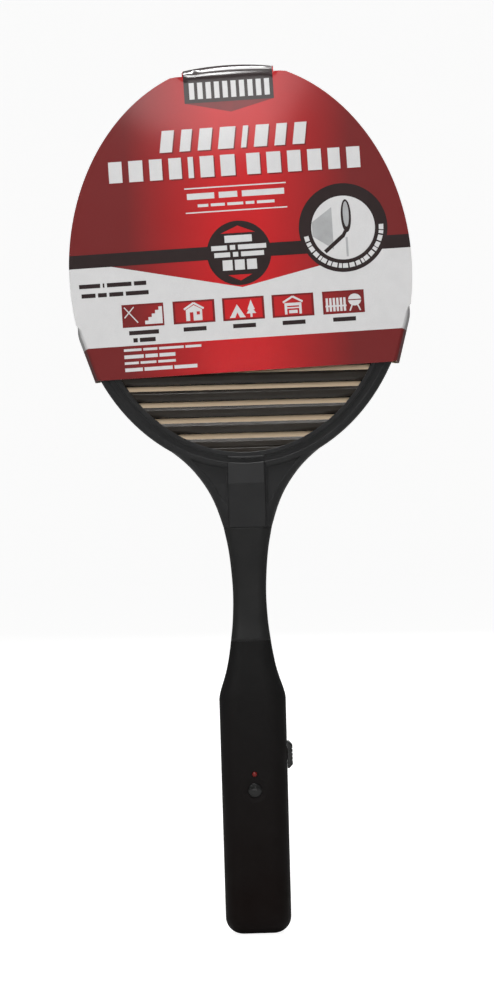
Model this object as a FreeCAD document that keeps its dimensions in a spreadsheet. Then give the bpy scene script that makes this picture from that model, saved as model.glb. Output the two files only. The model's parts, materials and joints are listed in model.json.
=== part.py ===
import FreeCAD, Part
import math
import os
import re
import Sketcher
from FreeCAD import Placement, Rotation, Vector

# Electric fly swatter with a flexible neck, in millimetres.
# +Z runs up the handle to the head, the front faces -Y and +X is the user's right.
# The origin is the centre of the handle's butt end.

DIMENSIONS = {
    # head
    "head_centre": (377.0, "height of the oval head's centre above the butt"),
    "head_wide": (96.1, "half width of the head"),
    "head_tall": (113.0, "half height of the head"),
    "head_deep": (10.0, "half depth of the head's rim"),
    "rim_wide": (10.2, "width of the rim, seen from the front"),
    "rim_round": (3.4, "rounding of the rim's outer edges"),
    "rim_face": (2.2, "thickness of the rim's front plate"),
    "rim_wall": (2.0, "thickness of the rim's outer wall"),
    "bead_wide": (2.8, "width of the raised bead round the opening"),
    "bead_high": (0.8, "height of that bead"),
    "seam": (0.2, "visible gap at the parting line of two shells"),
    "play": (0.15, "clearance between neighbouring parts"),
    # guards and electrodes
    "guard_gap": (0.5, "step from the rim's opening to the guard ring"),
    "guard_ring": (3.1, "width of the guard rings"),
    "guard_deep": (3.2, "depth of the guard rings"),
    "guard_chord": (3.1, "height of the filled segments at the guards' top and bottom"),
    "slat_pitch": (9.3, "distance between slats"),
    "slat_tall": (5.9, "height of a slat"),
    "slat_deep": (2.8, "depth of a slat"),
    "slat_bevel_tall": (1.6, "height of a slat's bevels"),
    "slat_bevel_deep": (0.9, "depth of a slat's bevels"),
    "slats_each_way": (11, "slats above the head's centre, and below it"),
    "slat_bite": (0.6, "how far a slat's end enters its ring"),
    "rod_radius": (0.6, "radius of an electrode rod"),
    "rod_offset": (1.7, "distance of a rod from its slat's middle"),
    "strip_thick": (0.5, "thickness of the bus strips"),
    "strip_half": (1.6, "half the width of the bus strips"),
    # head screws
    "boss_radius": (1.75, "radius of the head's screw bosses"),
    "boss_inset": (3.35, "distance of a boss from the head's outer edge"),
    "screw_radius": (0.95, "radius of the head screws' shanks"),
    "screw_head": (1.5, "radius of the head screws' heads"),
    "screw_sink": (1.5, "depth of the head screws' counterbores"),
    # yoke
    "yoke_bottom": (231.7, "height where the yoke meets the flexible neck"),
    "yoke_wall": (2.2, "wall thickness of the yoke"),
    "brow_half": (10.8, "half width of the raised brow on the yoke"),
    "brow_low_deep": (11.5, "reach of the brow's face at its lower end"),
    "brow_deep": (13.2, "reach of the brow's face at its crest"),
    "brow_crest": (256.6, "height of the brow's crest"),
    "brow_top": (272.4, "height where the brow's ramp ends"),
    "web_deep": (0.9, "depth of the sunken webs beside the brow"),
    "groove_inner": (3.6, "distance from the opening to the rim's groove"),
    "groove_outer": (6.2, "distance from the opening to the groove's far side"),
    "groove_deep": (0.5, "depth of the rim's groove"),
    # neck
    "neck_bottom": (167.0, "height where the neck leaves the handle"),
    "neck_tail": (4.0, "length of the sleeve's tails inside its neighbours"),
    "blade_half": (4.0, "half width of the spring blade"),
    "blade_thick": (0.7, "thickness of the spring blade"),
    "blade_low": (151.0, "lower end of the spring blade"),
    "blade_high": (249.0, "upper end of the spring blade"),
    "lead_side": (5.9, "distance of each lead from the middle"),
    "lead_radius": (0.7, "radius of the leads"),
    "anchor_half": (7.6, "half width of the blade's anchor blocks"),
    "anchor_deep": (4.6, "half depth of the anchor blocks"),
    "anchor_tall": (11.0, "height of the anchor blocks"),
    # handle
    "grip_wide": (18.7, "half width of the grip at the butt"),
    "grip_deep": (14.2, "half depth of the grip at the butt"),
    "grip_round": (10.6, "corner radius of the grip's section"),
    "butt_round": (9.6, "rounding of the butt end"),
    "shoulder": (134.0, "height where the handle begins to narrow"),
    "wall": (2.0, "wall thickness of the handle shells"),
    "handle_boss": (2.5, "radius of the handle's screw bosses"),
    "handle_screw": (1.15, "radius of the handle screws' shanks"),
    "handle_screw_head": (2.2, "radius of the handle screws' heads"),
    # batteries
    "cell_radius": (7.1, "radius of an AA cell"),
    "cell_low": (12.0, "lower end of the cells"),
    "cell_high": (61.3, "upper end of the cells' cans"),
    "cell_nub": (1.0, "height of a cell's positive nub"),
    "cell_side": (7.5, "distance of each cell from the middle"),
    "cell_back": (4.6, "distance of the cells behind the middle"),
    "tray_half": (15.6, "half width of the battery tray"),
    "tray_low": (7.6, "lower end of the tray"),
    "tray_high": (66.0, "upper end of the tray"),
    "tray_wall": (1.2, "wall thickness of the tray"),
    "spring_wire": (0.35, "radius of the contact springs' wire"),
    "cover_half": (13.6, "half width of the battery cover"),
    "cover_low": (11.0, "lower end of the battery cover"),
    "cover_high": (69.0, "upper end of the battery cover"),
    # circuit
    "board_half": (10.3, "half width of the circuit board"),
    "board_low": (71.0, "lower end of the circuit board"),
    "board_high": (134.0, "upper end of the circuit board"),
    "board_front": (-3.0, "front face of the circuit board"),
    "board_thick": (1.6, "thickness of the circuit board"),
    # controls
    "button_height": (82.4, "height of the push button's centre"),
    "button_radius": (4.0, "radius of the push button"),
    "button_proud": (1.1, "how far the button stands out of its dish"),
    "button_travel": (1.2, "travel of the push button"),
    "plunger_radius": (1.6, "radius of the button's stem and of the switch's plunger"),
    "switch_half": (3.0, "half width of the button's switch"),
    "switch_deep": (2.6, "depth of the button's switch on its board"),
    "switch_reach": (3.4, "distance of the plunger's tip from the board"),
    "switch_floor": (0.3, "thickness of the floor under the plunger"),
    "dish_radius": (7.0, "radius of the dish round the button"),
    "dish_deep": (0.9, "depth of that dish"),
    "lamp_height": (91.6, "height of the lamp's centre"),
    "lamp_radius": (1.5, "radius of the lamp"),
    "knob_centre": (101.0, "height of the side knob's centre at rest"),
    "knob_long": (15.4, "length of the side knob at its base"),
    "knob_half": (3.6, "half width of the side knob"),
    "knob_proud": (3.0, "how far the side knob stands out"),
    "knob_travel": (4.0, "travel of the side knob"),
    "knob_stem": (6.0, "length of the knob's stem in its slot"),
    # hook
    "hook_pin_height": (118.0, "height of the hook's pin"),
    "hook_long": (34.0, "distance from the hook's pin to its hanging hole"),
    "hook_half": (4.2, "half width of the hook"),
    "hook_thick": (3.0, "thickness of the hook"),
    "hook_back": (12.6, "distance of the hook's middle behind the grip's middle"),
    "hook_pin_radius": (1.0, "radius of the hook's pin"),
    "hang_hole": (2.2, "radius of the hanging hole"),
    "pocket_half": (5.0, "half width of the hook's pocket"),
    # retail card
    "card_wide": (98.0, "half width of the card"),
    "card_tall": (114.6, "half height of the card's oval"),
    "card_face": (11.4, "distance of the card's panels from the middle"),
    "card_thick": (0.5, "thickness of the card"),
    "card_fold": (361.0, "height where the card's sides turn straight"),
    "card_front_low": (320.0, "lower edge of the front panel"),
    "card_front_half": (85.4, "half width of the front panel's lower edge"),
    "card_back_low": (277.0, "lower edge of the back panel"),
    "card_back_half": (33.0, "half width of the back panel's lower edge"),
    "card_bridge_half": (27.0, "half width of the fold over the head"),
    "card_top": (494.4, "top of the fold over the head"),
    "card_tab_low": (360.5, "lower end of the side tabs"),
    "card_tab_high": (391.0, "upper end of the side tabs"),
    "card_tab_side": (96.6, "distance of the side tabs from the middle"),
}

# Cross sections of the lofted shapes: height, half width, half depth, corner radius.
SHOULDER_SECTIONS = [
    (134.0, 19.0, 14.6, 10.6),
    (139.0, 17.9, 14.2, 10.2),
    (145.0, 15.9, 13.6, 9.4),
    (151.0, 14.2, 12.9, 8.4),
    (159.0, 12.6, 11.9, 7.2),
    (167.0, 11.4, 11.0, 6.0),
]
NECK_SECTIONS = [
    (167.0, 11.4, 11.0, 6.0),
    (177.0, 10.2, 9.5, 5.6),
    (192.0, 9.5, 8.6, 5.4),
    (205.0, 10.0, 8.8, 5.6),
    (219.0, 11.4, 10.0, 6.0),
    (231.7, 13.8, 11.3, 6.4),
]
YOKE_SECTIONS = [
    (231.7, 13.8, 11.3, 6.4),
    (240.0, 16.4, 10.7, 6.2),
    (250.0, 20.5, 9.9, 6.0),
    (260.0, 26.7, 9.3, 5.8),
    (270.0, 35.6, 9.0, 5.4),
    (281.0, 50.0, 9.0, 5.0),
    (290.0, 60.2, 9.0, 4.6),
]

# Angles round the head's oval, in degrees from +X, where a screw joins the two frames.
HEAD_SCREW_ANGLES = [75, 105, 42, 138, 8, 172, -28, 208]

# Points on each turn of a contact spring.
SPRING_STEPS = 12

doc = FreeCAD.newDocument("FlySwatter")
sheet = doc.addObject("Spreadsheet::Sheet", "Dims")
nodes = []


def fill_sheet():
    """Write every driving dimension to the sheet, one aliased cell per row."""
    for row, (alias, (size, meaning)) in enumerate(DIMENSIONS.items(), start=1):
        sheet.set(f"A{row}", alias)
        sheet.set(f"B{row}", str(size))
        sheet.set(f"C{row}", meaning)
        sheet.setAlias(f"B{row}", alias)
    doc.recompute()


fill_sheet()


def linked(text):
    """Turn 'head_wide - play' into 'Dims.head_wide - Dims.play'."""
    def prefix(match):
        word = match.group(0)
        return f"Dims.{word}" if word in DIMENSIONS else word
    return re.sub(r"[a-z][a-z_]*", prefix, str(text))


def size(text):
    """The present value of an expression in the sheet's words."""
    return float(sheet.evalExpression(linked(text)))


def bind(thing, **expressions):
    """Bind properties of a document object to expressions."""
    for name, text in expressions.items():
        thing.setExpression(name, linked(text))
    return thing


def place(thing, x="0", y="0", z="0", rotation=None):
    """Turn a document object, then bind its position."""
    if rotation:
        thing.Placement = Placement(Vector(), rotation)
    for letter, text in zip("xyz", (x, y, z)):
        thing.setExpression(f"Placement.Base.{letter}", linked(text))
    return thing


def node(thing, label):
    """Register a document object as one of the swatter's pieces."""
    thing.Label = label
    nodes.append(thing)
    return thing


# ---------------------------------------------------------------- shape helpers


ALONG_X = Rotation(Vector(0, 1, 0), 90)
ALONG_Y = Rotation(Vector(1, 0, 0), -90)
UPRIGHT = Rotation(Vector(1, 0, 0), 90)


def box(name, x, y, z):
    """A box between pairs of expressions."""
    solid = doc.addObject("Part::Box", name)
    bind(solid, Length=f"({x[1]}) - ({x[0]})")
    bind(solid, Width=f"({y[1]}) - ({y[0]})")
    bind(solid, Height=f"({z[1]}) - ({z[0]})")
    return place(solid, x[0], y[0], z[0])


def cylinder(name, radius, length, x="0", y="0", z="0", rotation=None):
    """A cylinder that starts at x, y, z and runs along +Z, or as it is turned."""
    solid = doc.addObject("Part::Cylinder", name)
    bind(solid, Radius=radius, Height=length)
    return place(solid, x, y, z, rotation)


def cut(name, base, *tools):
    tool = tools[0] if len(tools) == 1 else fuse(f"{name}_tools", *tools)
    result = doc.addObject("Part::Cut", name)
    result.Base = base
    result.Tool = tool
    result.Refine = False
    return result


def fuse(name, *shapes):
    result = doc.addObject("Part::MultiFuse", name)
    result.Shapes = list(shapes)
    result.Refine = False
    return result


def common(name, *shapes):
    result = doc.addObject("Part::MultiCommon", name)
    result.Shapes = list(shapes)
    result.Refine = False
    return result


def group(name, members):
    """Separate solids kept together in one node."""
    result = doc.addObject("Part::Compound", name)
    result.Links = list(members)
    return result


def extrude(name, profile, direction, length):
    solid = doc.addObject("Part::Extrusion", name)
    solid.Base = profile
    solid.DirMode = "Custom"
    solid.Dir = direction
    solid.Solid = True
    return bind(solid, LengthFwd=length)


def oval(name, half_width, half_height, y):
    """An elliptical disc across the head, between the two depths in y."""
    edge = doc.addObject("Part::Ellipse", f"{name}_edge")
    bind(edge, MajorRadius=half_height, MinorRadius=half_width)
    place(edge, "0", y[0], "head_centre", Rotation(Vector(1, 1, 1), 240))
    return extrude(name, edge, Vector(0, 1, 0), f"({y[1]}) - ({y[0]})")


def rounded_section(name, height, half_width, half_depth, corner):
    """A closed rounded rectangle in a level plane, fully constrained."""
    sketch = doc.addObject("Sketcher::SketchObject", name)
    wide, deep, radius = size(half_width), size(half_depth), size(corner)
    inner_x, inner_y = wide - radius, deep - radius
    centres = [(inner_x, inner_y), (-inner_x, inner_y), (-inner_x, -inner_y), (inner_x, -inner_y)]
    for quarter, (x, y) in enumerate(centres):
        circle = Part.Circle(Vector(x, y, 0), Vector(0, 0, 1), radius)
        start = quarter * math.pi / 2
        sketch.addGeometry(Part.ArcOfCircle(circle, start, start + math.pi / 2))
    sides = [
        ((inner_x, deep), (-inner_x, deep)),
        ((-wide, inner_y), (-wide, -inner_y)),
        ((-inner_x, -deep), (inner_x, -deep)),
        ((wide, -inner_y), (wide, inner_y)),
    ]
    for start, end in sides:
        sketch.addGeometry(Part.LineSegment(Vector(*start, 0), Vector(*end, 0)))
    for corner_id in range(4):
        side_id = 4 + corner_id
        following = (corner_id + 1) % 4
        sketch.addConstraint(Sketcher.Constraint("Tangent", corner_id, 2, side_id, 1))
        sketch.addConstraint(Sketcher.Constraint("Tangent", side_id, 2, following, 1))
        if corner_id:
            sketch.addConstraint(Sketcher.Constraint("Equal", 0, corner_id))
    sketch.addConstraint(Sketcher.Constraint("Horizontal", 4))
    sketch.addConstraint(Sketcher.Constraint("Vertical", 5))
    sketch.addConstraint(Sketcher.Constraint("Horizontal", 6))
    sketch.addConstraint(Sketcher.Constraint("Vertical", 7))
    sketch.addConstraint(Sketcher.Constraint("Symmetric", 4, 1, 6, 1, -1, 1))
    bound_constraint(sketch, Sketcher.Constraint("DistanceX", -1, 1, 7, 1, wide), half_width)
    bound_constraint(sketch, Sketcher.Constraint("DistanceY", -1, 1, 4, 1, deep), half_depth)
    bound_constraint(sketch, Sketcher.Constraint("Radius", 0, radius), corner)
    return place(sketch, z=height)


def bound_constraint(sketch, constraint, text):
    index = sketch.addConstraint(constraint)
    sketch.setExpression(f"Constraints[{index}]", linked(text))


def outline(sketch, corners):
    """A closed polygon whose corners are pairs of expressions."""
    points = [(size(x), size(y)) for x, y in corners]
    count = len(points)
    for index, point in enumerate(points):
        following = points[(index + 1) % count]
        sketch.addGeometry(Part.LineSegment(Vector(*point, 0), Vector(*following, 0)))
    for index, (x, y) in enumerate(corners):
        before = (index - 1) % count
        sketch.addConstraint(Sketcher.Constraint("Coincident", before, 2, index, 1))
        across = Sketcher.Constraint("DistanceX", -1, 1, index, 1, points[index][0])
        bound_constraint(sketch, across, x)
        upward = Sketcher.Constraint("DistanceY", -1, 1, index, 1, points[index][1])
        bound_constraint(sketch, upward, y)
    return sketch


def plate(name, corners, y):
    """An upright plate with a polygon outline in X and Z, between two depths."""
    sketch = doc.addObject("Sketcher::SketchObject", f"{name}_outline")
    outline(sketch, corners)
    place(sketch, y=y[0], rotation=UPRIGHT)
    return extrude(name, sketch, Vector(0, 1, 0), f"({y[1]}) - ({y[0]})")


def side_profile(name, corners, x):
    """A bar along X with a polygon outline in Y and Z, between two places."""
    sketch = doc.addObject("Sketcher::SketchObject", f"{name}_outline")
    outline(sketch, corners)
    place(sketch, x=x[0], rotation=Rotation(Vector(1, 1, 1), 120))
    return extrude(name, sketch, Vector(1, 0, 0), f"({x[1]}) - ({x[0]})")


def loft(name, sections, inset="0", ruled=False):
    """A solid through rounded sections, made smaller all round by inset."""
    profiles = []
    for number, (height, half_width, half_depth, corner) in enumerate(sections):
        section = rounded_section(
            f"{name}_section_{number}",
            height,
            f"({half_width}) - ({inset})",
            f"({half_depth}) - ({inset})",
            f"({corner}) - ({inset})",
        )
        profiles.append(section)
    solid = doc.addObject("Part::Loft", name)
    solid.Sections = profiles
    solid.Solid = True
    solid.Ruled = ruled
    return solid


def rounded_edges(name, base, radius, wanted):
    """Round the edges of base that the function wanted picks."""
    doc.recompute()
    chosen = []
    for number, edge in enumerate(base.Shape.Edges, start=1):
        if wanted(edge):
            chosen.append((number, size(radius), size(radius)))
    solid = doc.addObject("Part::Fillet", name)
    solid.Base = base
    solid.Edges = chosen
    return solid


def body(label):
    piece = doc.addObject("PartDesign::Body", label)
    return node(piece, label)


def origin_plane(piece, role):
    for feature in piece.Origin.OriginFeatures:
        if feature.Role == role:
            return feature
    raise ValueError(role)


def body_sketch(piece, name, role, offset="0"):
    """A sketch on one of the body's own origin planes, moved along its normal."""
    sketch = piece.newObject("Sketcher::SketchObject", name)
    sketch.AttachmentSupport = [(origin_plane(piece, role), "")]
    sketch.MapMode = "FlatFace"
    sketch.setExpression("AttachmentOffset.Base.z", linked(offset))
    return sketch


def pad(piece, sketch, length, both_ways=False):
    feature = piece.newObject("PartDesign::Pad", f"{sketch.Name}_pad")
    feature.Profile = sketch
    feature.Midplane = both_ways
    return bind(feature, Length=length)


def revolve(piece, sketch):
    """Turn a profile once round the sketch's own vertical axis."""
    feature = piece.newObject("PartDesign::Revolution", f"{sketch.Name}_turned")
    feature.Profile = sketch
    feature.ReferenceAxis = (sketch, ["V_Axis"])
    feature.Angle = 360
    return feature


def turned(label, corners):
    """A body turned round Z from a half outline of radius and height."""
    piece = body(label)
    sketch = body_sketch(piece, f"{label}_outline", "XZ_Plane")
    outline(sketch, corners)
    revolve(piece, sketch)
    return piece


# ---------------------------------------------------------------- head frames


def opening(name, grow="0"):
    """The through opening of the head, made larger by grow."""
    half_width = f"head_wide - rim_wide + ({grow})"
    half_height = f"head_tall - rim_wide + ({grow})"
    return oval(name, half_width, half_height, ("-2 * head_deep", "2 * head_deep"))


def head_screw_places():
    """Expressions for the height and side of each screw round the rim."""
    places = []
    for angle in HEAD_SCREW_ANGLES:
        x = f"(head_wide - boss_inset) * cos({angle} deg)"
        z = f"head_centre + (head_tall - boss_inset) * sin({angle} deg)"
        places.append((x, z))
    return places


def half(text, side):
    """A pair of depths from the parting plane outwards, on the front or the rear side."""
    return (f"-({text})", "-seam / 2") if side < 0 else ("seam / 2", text)


def outer_face(side, reach_out):
    """A test for the edges that lie wholly in the outer face, reach_out from the middle."""
    depth = side * size(reach_out)
    return lambda edge: abs(edge.BoundBox.YMin - depth) < 0.01 and edge.BoundBox.YLength < 0.01


def rim_band(label, side):
    """The rim's oval band with its rounded outer edge, still solid."""
    blank = oval(f"{label}_rim", "head_wide", "head_tall", half("head_deep", side))
    soft = rounded_edges(f"{label}_soft_rim", blank, "rim_round", outer_face(side, "head_deep"))
    return cut(f"{label}_rim_band", soft, opening(f"{label}_rim_hole"))


def bead_ring(label, side):
    """The rounded bead that stands on the rim round the opening."""
    depth = ("-head_deep - bead_high", "-head_deep + 0.5")
    if side > 0:
        depth = ("head_deep - 0.5", "head_deep + bead_high")
    grow = "bead_wide - rim_wide"
    blank = oval(f"{label}_bead", f"head_wide + {grow}", f"head_tall + {grow}", depth)
    soft = rounded_edges(f"{label}_soft_bead", blank, "bead_high * 0.9",
                         outer_face(side, "head_deep + bead_high"))
    return cut(f"{label}_bead_ring", soft, opening(f"{label}_bead_hole"))


def flare(label, side):
    """The yoke's flare on one side of the parting plane, with the front's webs, still solid."""
    keep = box(f"{label}_yoke_half", ("-head_wide", "head_wide"), half("2 * head_deep", side),
               ("yoke_bottom", "head_centre"))
    solid = common(f"{label}_yoke", loft(f"{label}_flare", YOKE_SECTIONS), keep)
    if side < 0:
        solid = cut(f"{label}_webbed", solid, *web_pockets(label))
    return cut(f"{label}_yoke_band", solid, opening(f"{label}_yoke_hole"))


def head_frame(label, side):
    """One half of the head's frame: rim, bead, yoke, screw bosses, and the front's brow."""
    front = side < 0
    skin = fuse(f"{label}_skin", rim_band(label, side), flare(label, side))
    if front:
        skin = fuse(f"{label}_browed_skin", skin, brow(label))
    cavity_depth = ("-head_deep + rim_face", "head_deep") if front else ("-head_deep", "head_deep - rim_face")
    cavity = oval(f"{label}_cavity", "head_wide - rim_wall", "head_tall - rim_wall", cavity_depth)
    emptied = cut(f"{label}_emptied", skin, cavity)
    hollowed = cut(f"{label}_hollowed", emptied,
                   loft(f"{label}_yoke_hollow", yoke_hollow_sections(), "yoke_wall"))

    bosses = []
    holes = []
    for number, (x, z) in enumerate(head_screw_places()):
        name = f"{label}_boss_{number}"
        if front:
            start, length, depth_end = "-head_deep + rim_face / 2", "head_deep - rim_face / 2 - seam / 2", "0"
        else:
            start, length, depth_end = "seam / 2", "head_deep - rim_face / 2 - seam / 2", "head_deep"
        bosses.append(cylinder(name, "boss_radius", length, x, start, z, ALONG_Y))
        if front:
            holes.append(cylinder(f"{name}_pilot", "screw_radius + play / 3", "head_deep - rim_face - 1",
                                  x, "-head_deep + rim_face + 1", z, ALONG_Y))
        else:
            holes.append(cylinder(f"{name}_hole", "screw_radius + play / 2", "2 * head_deep",
                                  x, "0", z, ALONG_Y))
            holes.append(cylinder(f"{name}_sink", "screw_head + play", "screw_sink + 1",
                                  x, "head_deep - screw_sink", z, ALONG_Y))
    whole = fuse(f"{label}_with_bosses", hollowed, bead_ring(label, side), *bosses)
    grooved = cut(f"{label}_grooved", whole, rim_groove(label, side))
    return node(cut(label, grooved, *holes), label)


def rim_groove(label, side):
    """The shallow groove round the rim, between its bead and its outer border."""
    depth = ("head_deep - groove_deep", "2 * head_deep")
    if side < 0:
        depth = ("-2 * head_deep", "-head_deep + groove_deep")
    outer = oval(f"{label}_groove_outer", "head_wide - rim_wide + groove_outer",
                 "head_tall - rim_wide + groove_outer", depth)
    return cut(f"{label}_groove", outer, opening(f"{label}_groove_inner", "groove_inner"))


def web_pockets(label):
    """The sunken webs beside the brow: shallow triangles inside the yoke's raised borders."""
    inner = "brow_half + 0.9"
    half_outline = [
        (inner, "brow_top + 6"),
        (inner, "brow_crest - 12"),
        ("brow_half + 3.6", "brow_crest - 9"),
        ("brow_half + 7", "brow_crest - 2"),
        ("brow_half + 12", "brow_crest + 5"),
        ("brow_half + 20", "brow_crest + 14"),
        ("brow_half + 27", "brow_top + 6"),
    ]
    slope = [
        ("-2 * head_deep", "yoke_bottom"),
        ("-brow_low_deep + web_deep * 2", "yoke_bottom"),
        ("-head_deep + web_deep * 2", "brow_crest"),
        ("-head_deep + web_deep * 2", "brow_top + 10"),
        ("-2 * head_deep", "brow_top + 10"),
    ]
    pockets = []
    for name, mirror in (("right", ""), ("left", "-")):
        corners = [(f"{mirror}({x})", z) for x, z in half_outline]
        outline_block = plate(f"{label}_web_{name}", corners, ("-2 * head_deep", "-2"))
        floor = side_profile(f"{label}_web_floor_{name}", slope, ("-head_wide", "head_wide"))
        pockets.append(common(f"{label}_web_pocket_{name}", outline_block, floor))
    return pockets


def yoke_hollow_sections():
    """The yoke's sections, carried a little past its lower end so that the end stays open."""
    height, half_width, half_depth, corner = YOKE_SECTIONS[0]
    return [(height - 1.0, half_width, half_depth, corner)] + YOKE_SECTIONS[1:]


def brow(label):
    """The raised block in the middle of the yoke, with a ramp up to the rim."""
    corners = [
        ("-2", "yoke_bottom"),
        ("-brow_low_deep", "yoke_bottom"),
        ("-brow_deep", "brow_crest"),
        ("-head_deep - bead_high", "brow_top"),
        ("-2", "brow_top"),
    ]
    blank = side_profile(f"{label}_brow", corners, ("-brow_half", "brow_half"))
    side = size("brow_half")
    soft = rounded_edges(
        f"{label}_soft_brow", blank, "1",
        lambda edge: abs(abs(edge.BoundBox.XMin) - side) < 0.01 and edge.BoundBox.XLength < 0.01
        and edge.BoundBox.ZLength > 2 and edge.BoundBox.YMax < -size("head_deep") + 0.1,
    )
    return cut(f"{label}_trimmed_brow", soft, opening(f"{label}_brow_top", "bead_wide - 0.3"))


def head_screws():
    """The small screws that hold the two head frames together, driven from the rear."""
    screws = []
    for number, (x, z) in enumerate(head_screw_places()):
        screws.append(screw(f"head_screw_{number}", x, z, "head_deep - screw_sink", "screw_radius",
                            "screw_head", "1.1", "head_deep + 3"))
    return node(group("head_screws", screws), "head_screws")


def screw(name, x, z, seat, radius, head_radius, head_tall, length):
    """A pan-head screw along Y whose head rests at the depth called seat."""
    shank = cylinder(f"{name}_shank", radius, f"({length})", x, f"{seat} - ({length})", z, ALONG_Y)
    head = cylinder(f"{name}_head", head_radius, head_tall, x, seat, z, ALONG_Y)
    slot_half = f"({head_radius}) * 0.7"
    blade = "0.25"
    slots = []
    for turn, (across, upward) in enumerate(((slot_half, blade), (blade, slot_half))):
        slots.append(box(f"{name}_slot_{turn}", (f"{x} - {across}", f"{x} + {across}"),
                         (f"{seat} + ({head_tall}) * 0.4", f"{seat} + ({head_tall}) + 1"),
                         (f"{z} - {upward}", f"{z} + {upward}")))
    return cut(name, fuse(f"{name}_blank", shank, head), *slots)


# ---------------------------------------------------------------- guards and electrodes


def slat_heights():
    """Distance of each slat's middle from the head's centre."""
    count = int(size("slats_each_way"))
    steps = [number + 0.5 for number in range(count)]
    return [f"{step} * slat_pitch" for step in steps] + [f"-{step} * slat_pitch" for step in steps]


def reach(half_width, half_height, offset):
    """Half the width of an oval at a given distance from its centre."""
    return f"({half_width}) * sqrt(1 - pow(({offset}) / ({half_height}); 2))"


def slat_section(middle, height):
    """A slat's bevelled section round its middle, as corners in depth and height."""
    face = "(slat_tall / 2 - slat_bevel_tall)"
    edge = "(slat_deep / 2 - slat_bevel_deep)"
    corner = [("slat_deep / 2", face), (edge, "slat_tall / 2")]
    section = []
    for across, upward, quarter in ((1, 1, corner), (-1, 1, corner[::-1]), (-1, -1, corner), (1, -1, corner[::-1])):
        for y, z in quarter:
            section.append((f"{middle} + {across} * {y}", f"{height} + {upward} * {z}"))
    return section


def guard(label, side):
    """A ring with horizontal slats, one in front of the electrodes and one behind."""
    near = "head_deep - rim_face - play"
    far = f"{near} - guard_deep"
    depth = (f"-({near})", f"-({far})") if side < 0 else (far, near)
    inner_wide = "head_wide - rim_wide + guard_gap"
    inner_tall = "head_tall - rim_wide + guard_gap"
    disc = oval(f"{label}_disc", f"{inner_wide} + guard_ring", f"{inner_tall} + guard_ring", depth)
    reach_up = f"({inner_tall} - guard_chord)"
    window = box(f"{label}_window", ("-head_wide", "head_wide"), ("-3 * head_deep", "3 * head_deep"),
                 (f"head_centre - {reach_up}", f"head_centre + {reach_up}"))
    hole = common(f"{label}_flat_hole", opening(f"{label}_hole", "guard_gap"), window)
    parts = [cut(f"{label}_ring", disc, hole)]
    middle = f"{side} * ({near} - slat_deep / 2)"
    for number, height in enumerate(slat_heights()):
        near_edge = f"abs({height}) - slat_tall / 2"
        half_long = f"{reach(inner_wide, inner_tall, near_edge)} + slat_bite"
        section = slat_section(middle, f"head_centre + {height}")
        parts.append(side_profile(f"{label}_slat_{number}", section, (f"-({half_long})", half_long)))
    return node(fuse(label, *parts), label)


def carrier_sizes():
    inner_wide = "head_wide - rim_wide + guard_gap"
    inner_tall = "head_tall - rim_wide + guard_gap"
    return inner_wide, inner_tall


def rod(name, height, polarity, radius, extra="0"):
    """One electrode rod: its own side runs to the bus strip, the other stops in the carrier."""
    inner_wide, inner_tall = carrier_sizes()
    middle = f"head_centre + {height} + {polarity} * rod_offset"
    worst = f"abs({height}) + rod_offset + rod_radius"
    to_strip = reach(f"{inner_wide} + guard_ring", f"{inner_tall} + guard_ring", worst)
    to_carrier = reach(f"{inner_wide} + guard_ring / 2", f"{inner_tall} + guard_ring / 2", worst)
    left, right = (to_strip, to_carrier) if polarity > 0 else (to_carrier, to_strip)
    length = f"{left} + {right} + 2 * ({extra})"
    return cylinder(name, radius, length, f"-({left}) - ({extra})", "0", middle, ALONG_X)


def rods(label, polarity):
    members = []
    for number, height in enumerate(slat_heights()):
        members.append(rod(f"{label}_{number}", height, polarity, "rod_radius"))
    return node(group(label, members), label)


def electrode_carrier():
    """The insulating ring that holds both sets of rods."""
    inner_wide, inner_tall = carrier_sizes()
    reach_out = "head_deep - rim_face - play - guard_deep - play"
    disc = oval("carrier_disc", f"{inner_wide} + guard_ring - play", f"{inner_tall} + guard_ring - play",
                (f"-({reach_out})", reach_out))
    holes = [opening("carrier_hole", "guard_gap")]
    for number, height in enumerate(slat_heights()):
        for polarity in (1, -1):
            holes.append(rod(f"rod_hole_{number}_{polarity + 1}", height, polarity,
                             "rod_radius + play / 3", "play / 3"))
    return node(cut("electrode_carrier", disc, *holes), "electrode_carrier")


def bus_strip(label, side):
    """A thin curved strip outside the carrier that joins the rods of one polarity."""
    inner_wide, inner_tall = carrier_sizes()
    grow = "guard_ring + play / 3"
    depth = ("-strip_half", "strip_half")
    outer = oval(f"{label}_outer", f"{inner_wide} + {grow} + strip_thick", f"{inner_tall} + {grow} + strip_thick",
                 depth)
    inner = oval(f"{label}_inner", f"{inner_wide} + {grow}", f"{inner_tall} + {grow}",
                 ("-2 * strip_half", "2 * strip_half"))
    sides = ("-head_wide", "-lead_side") if side < 0 else ("lead_side", "head_wide")
    keep = box(f"{label}_keep", sides, depth, ("head_centre - head_tall", "head_centre + head_tall"))
    return node(cut(label, common(f"{label}_arc", outer, keep), inner), label)


# ---------------------------------------------------------------- neck


def neck_channel(name, low, high):
    """The slot through the neck for the blade and the two leads."""
    side = "lead_side + lead_radius + play"
    deep = "lead_radius + play"
    return box(name, (f"-({side})", side), (f"-({deep})", deep), (low, high))


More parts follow.
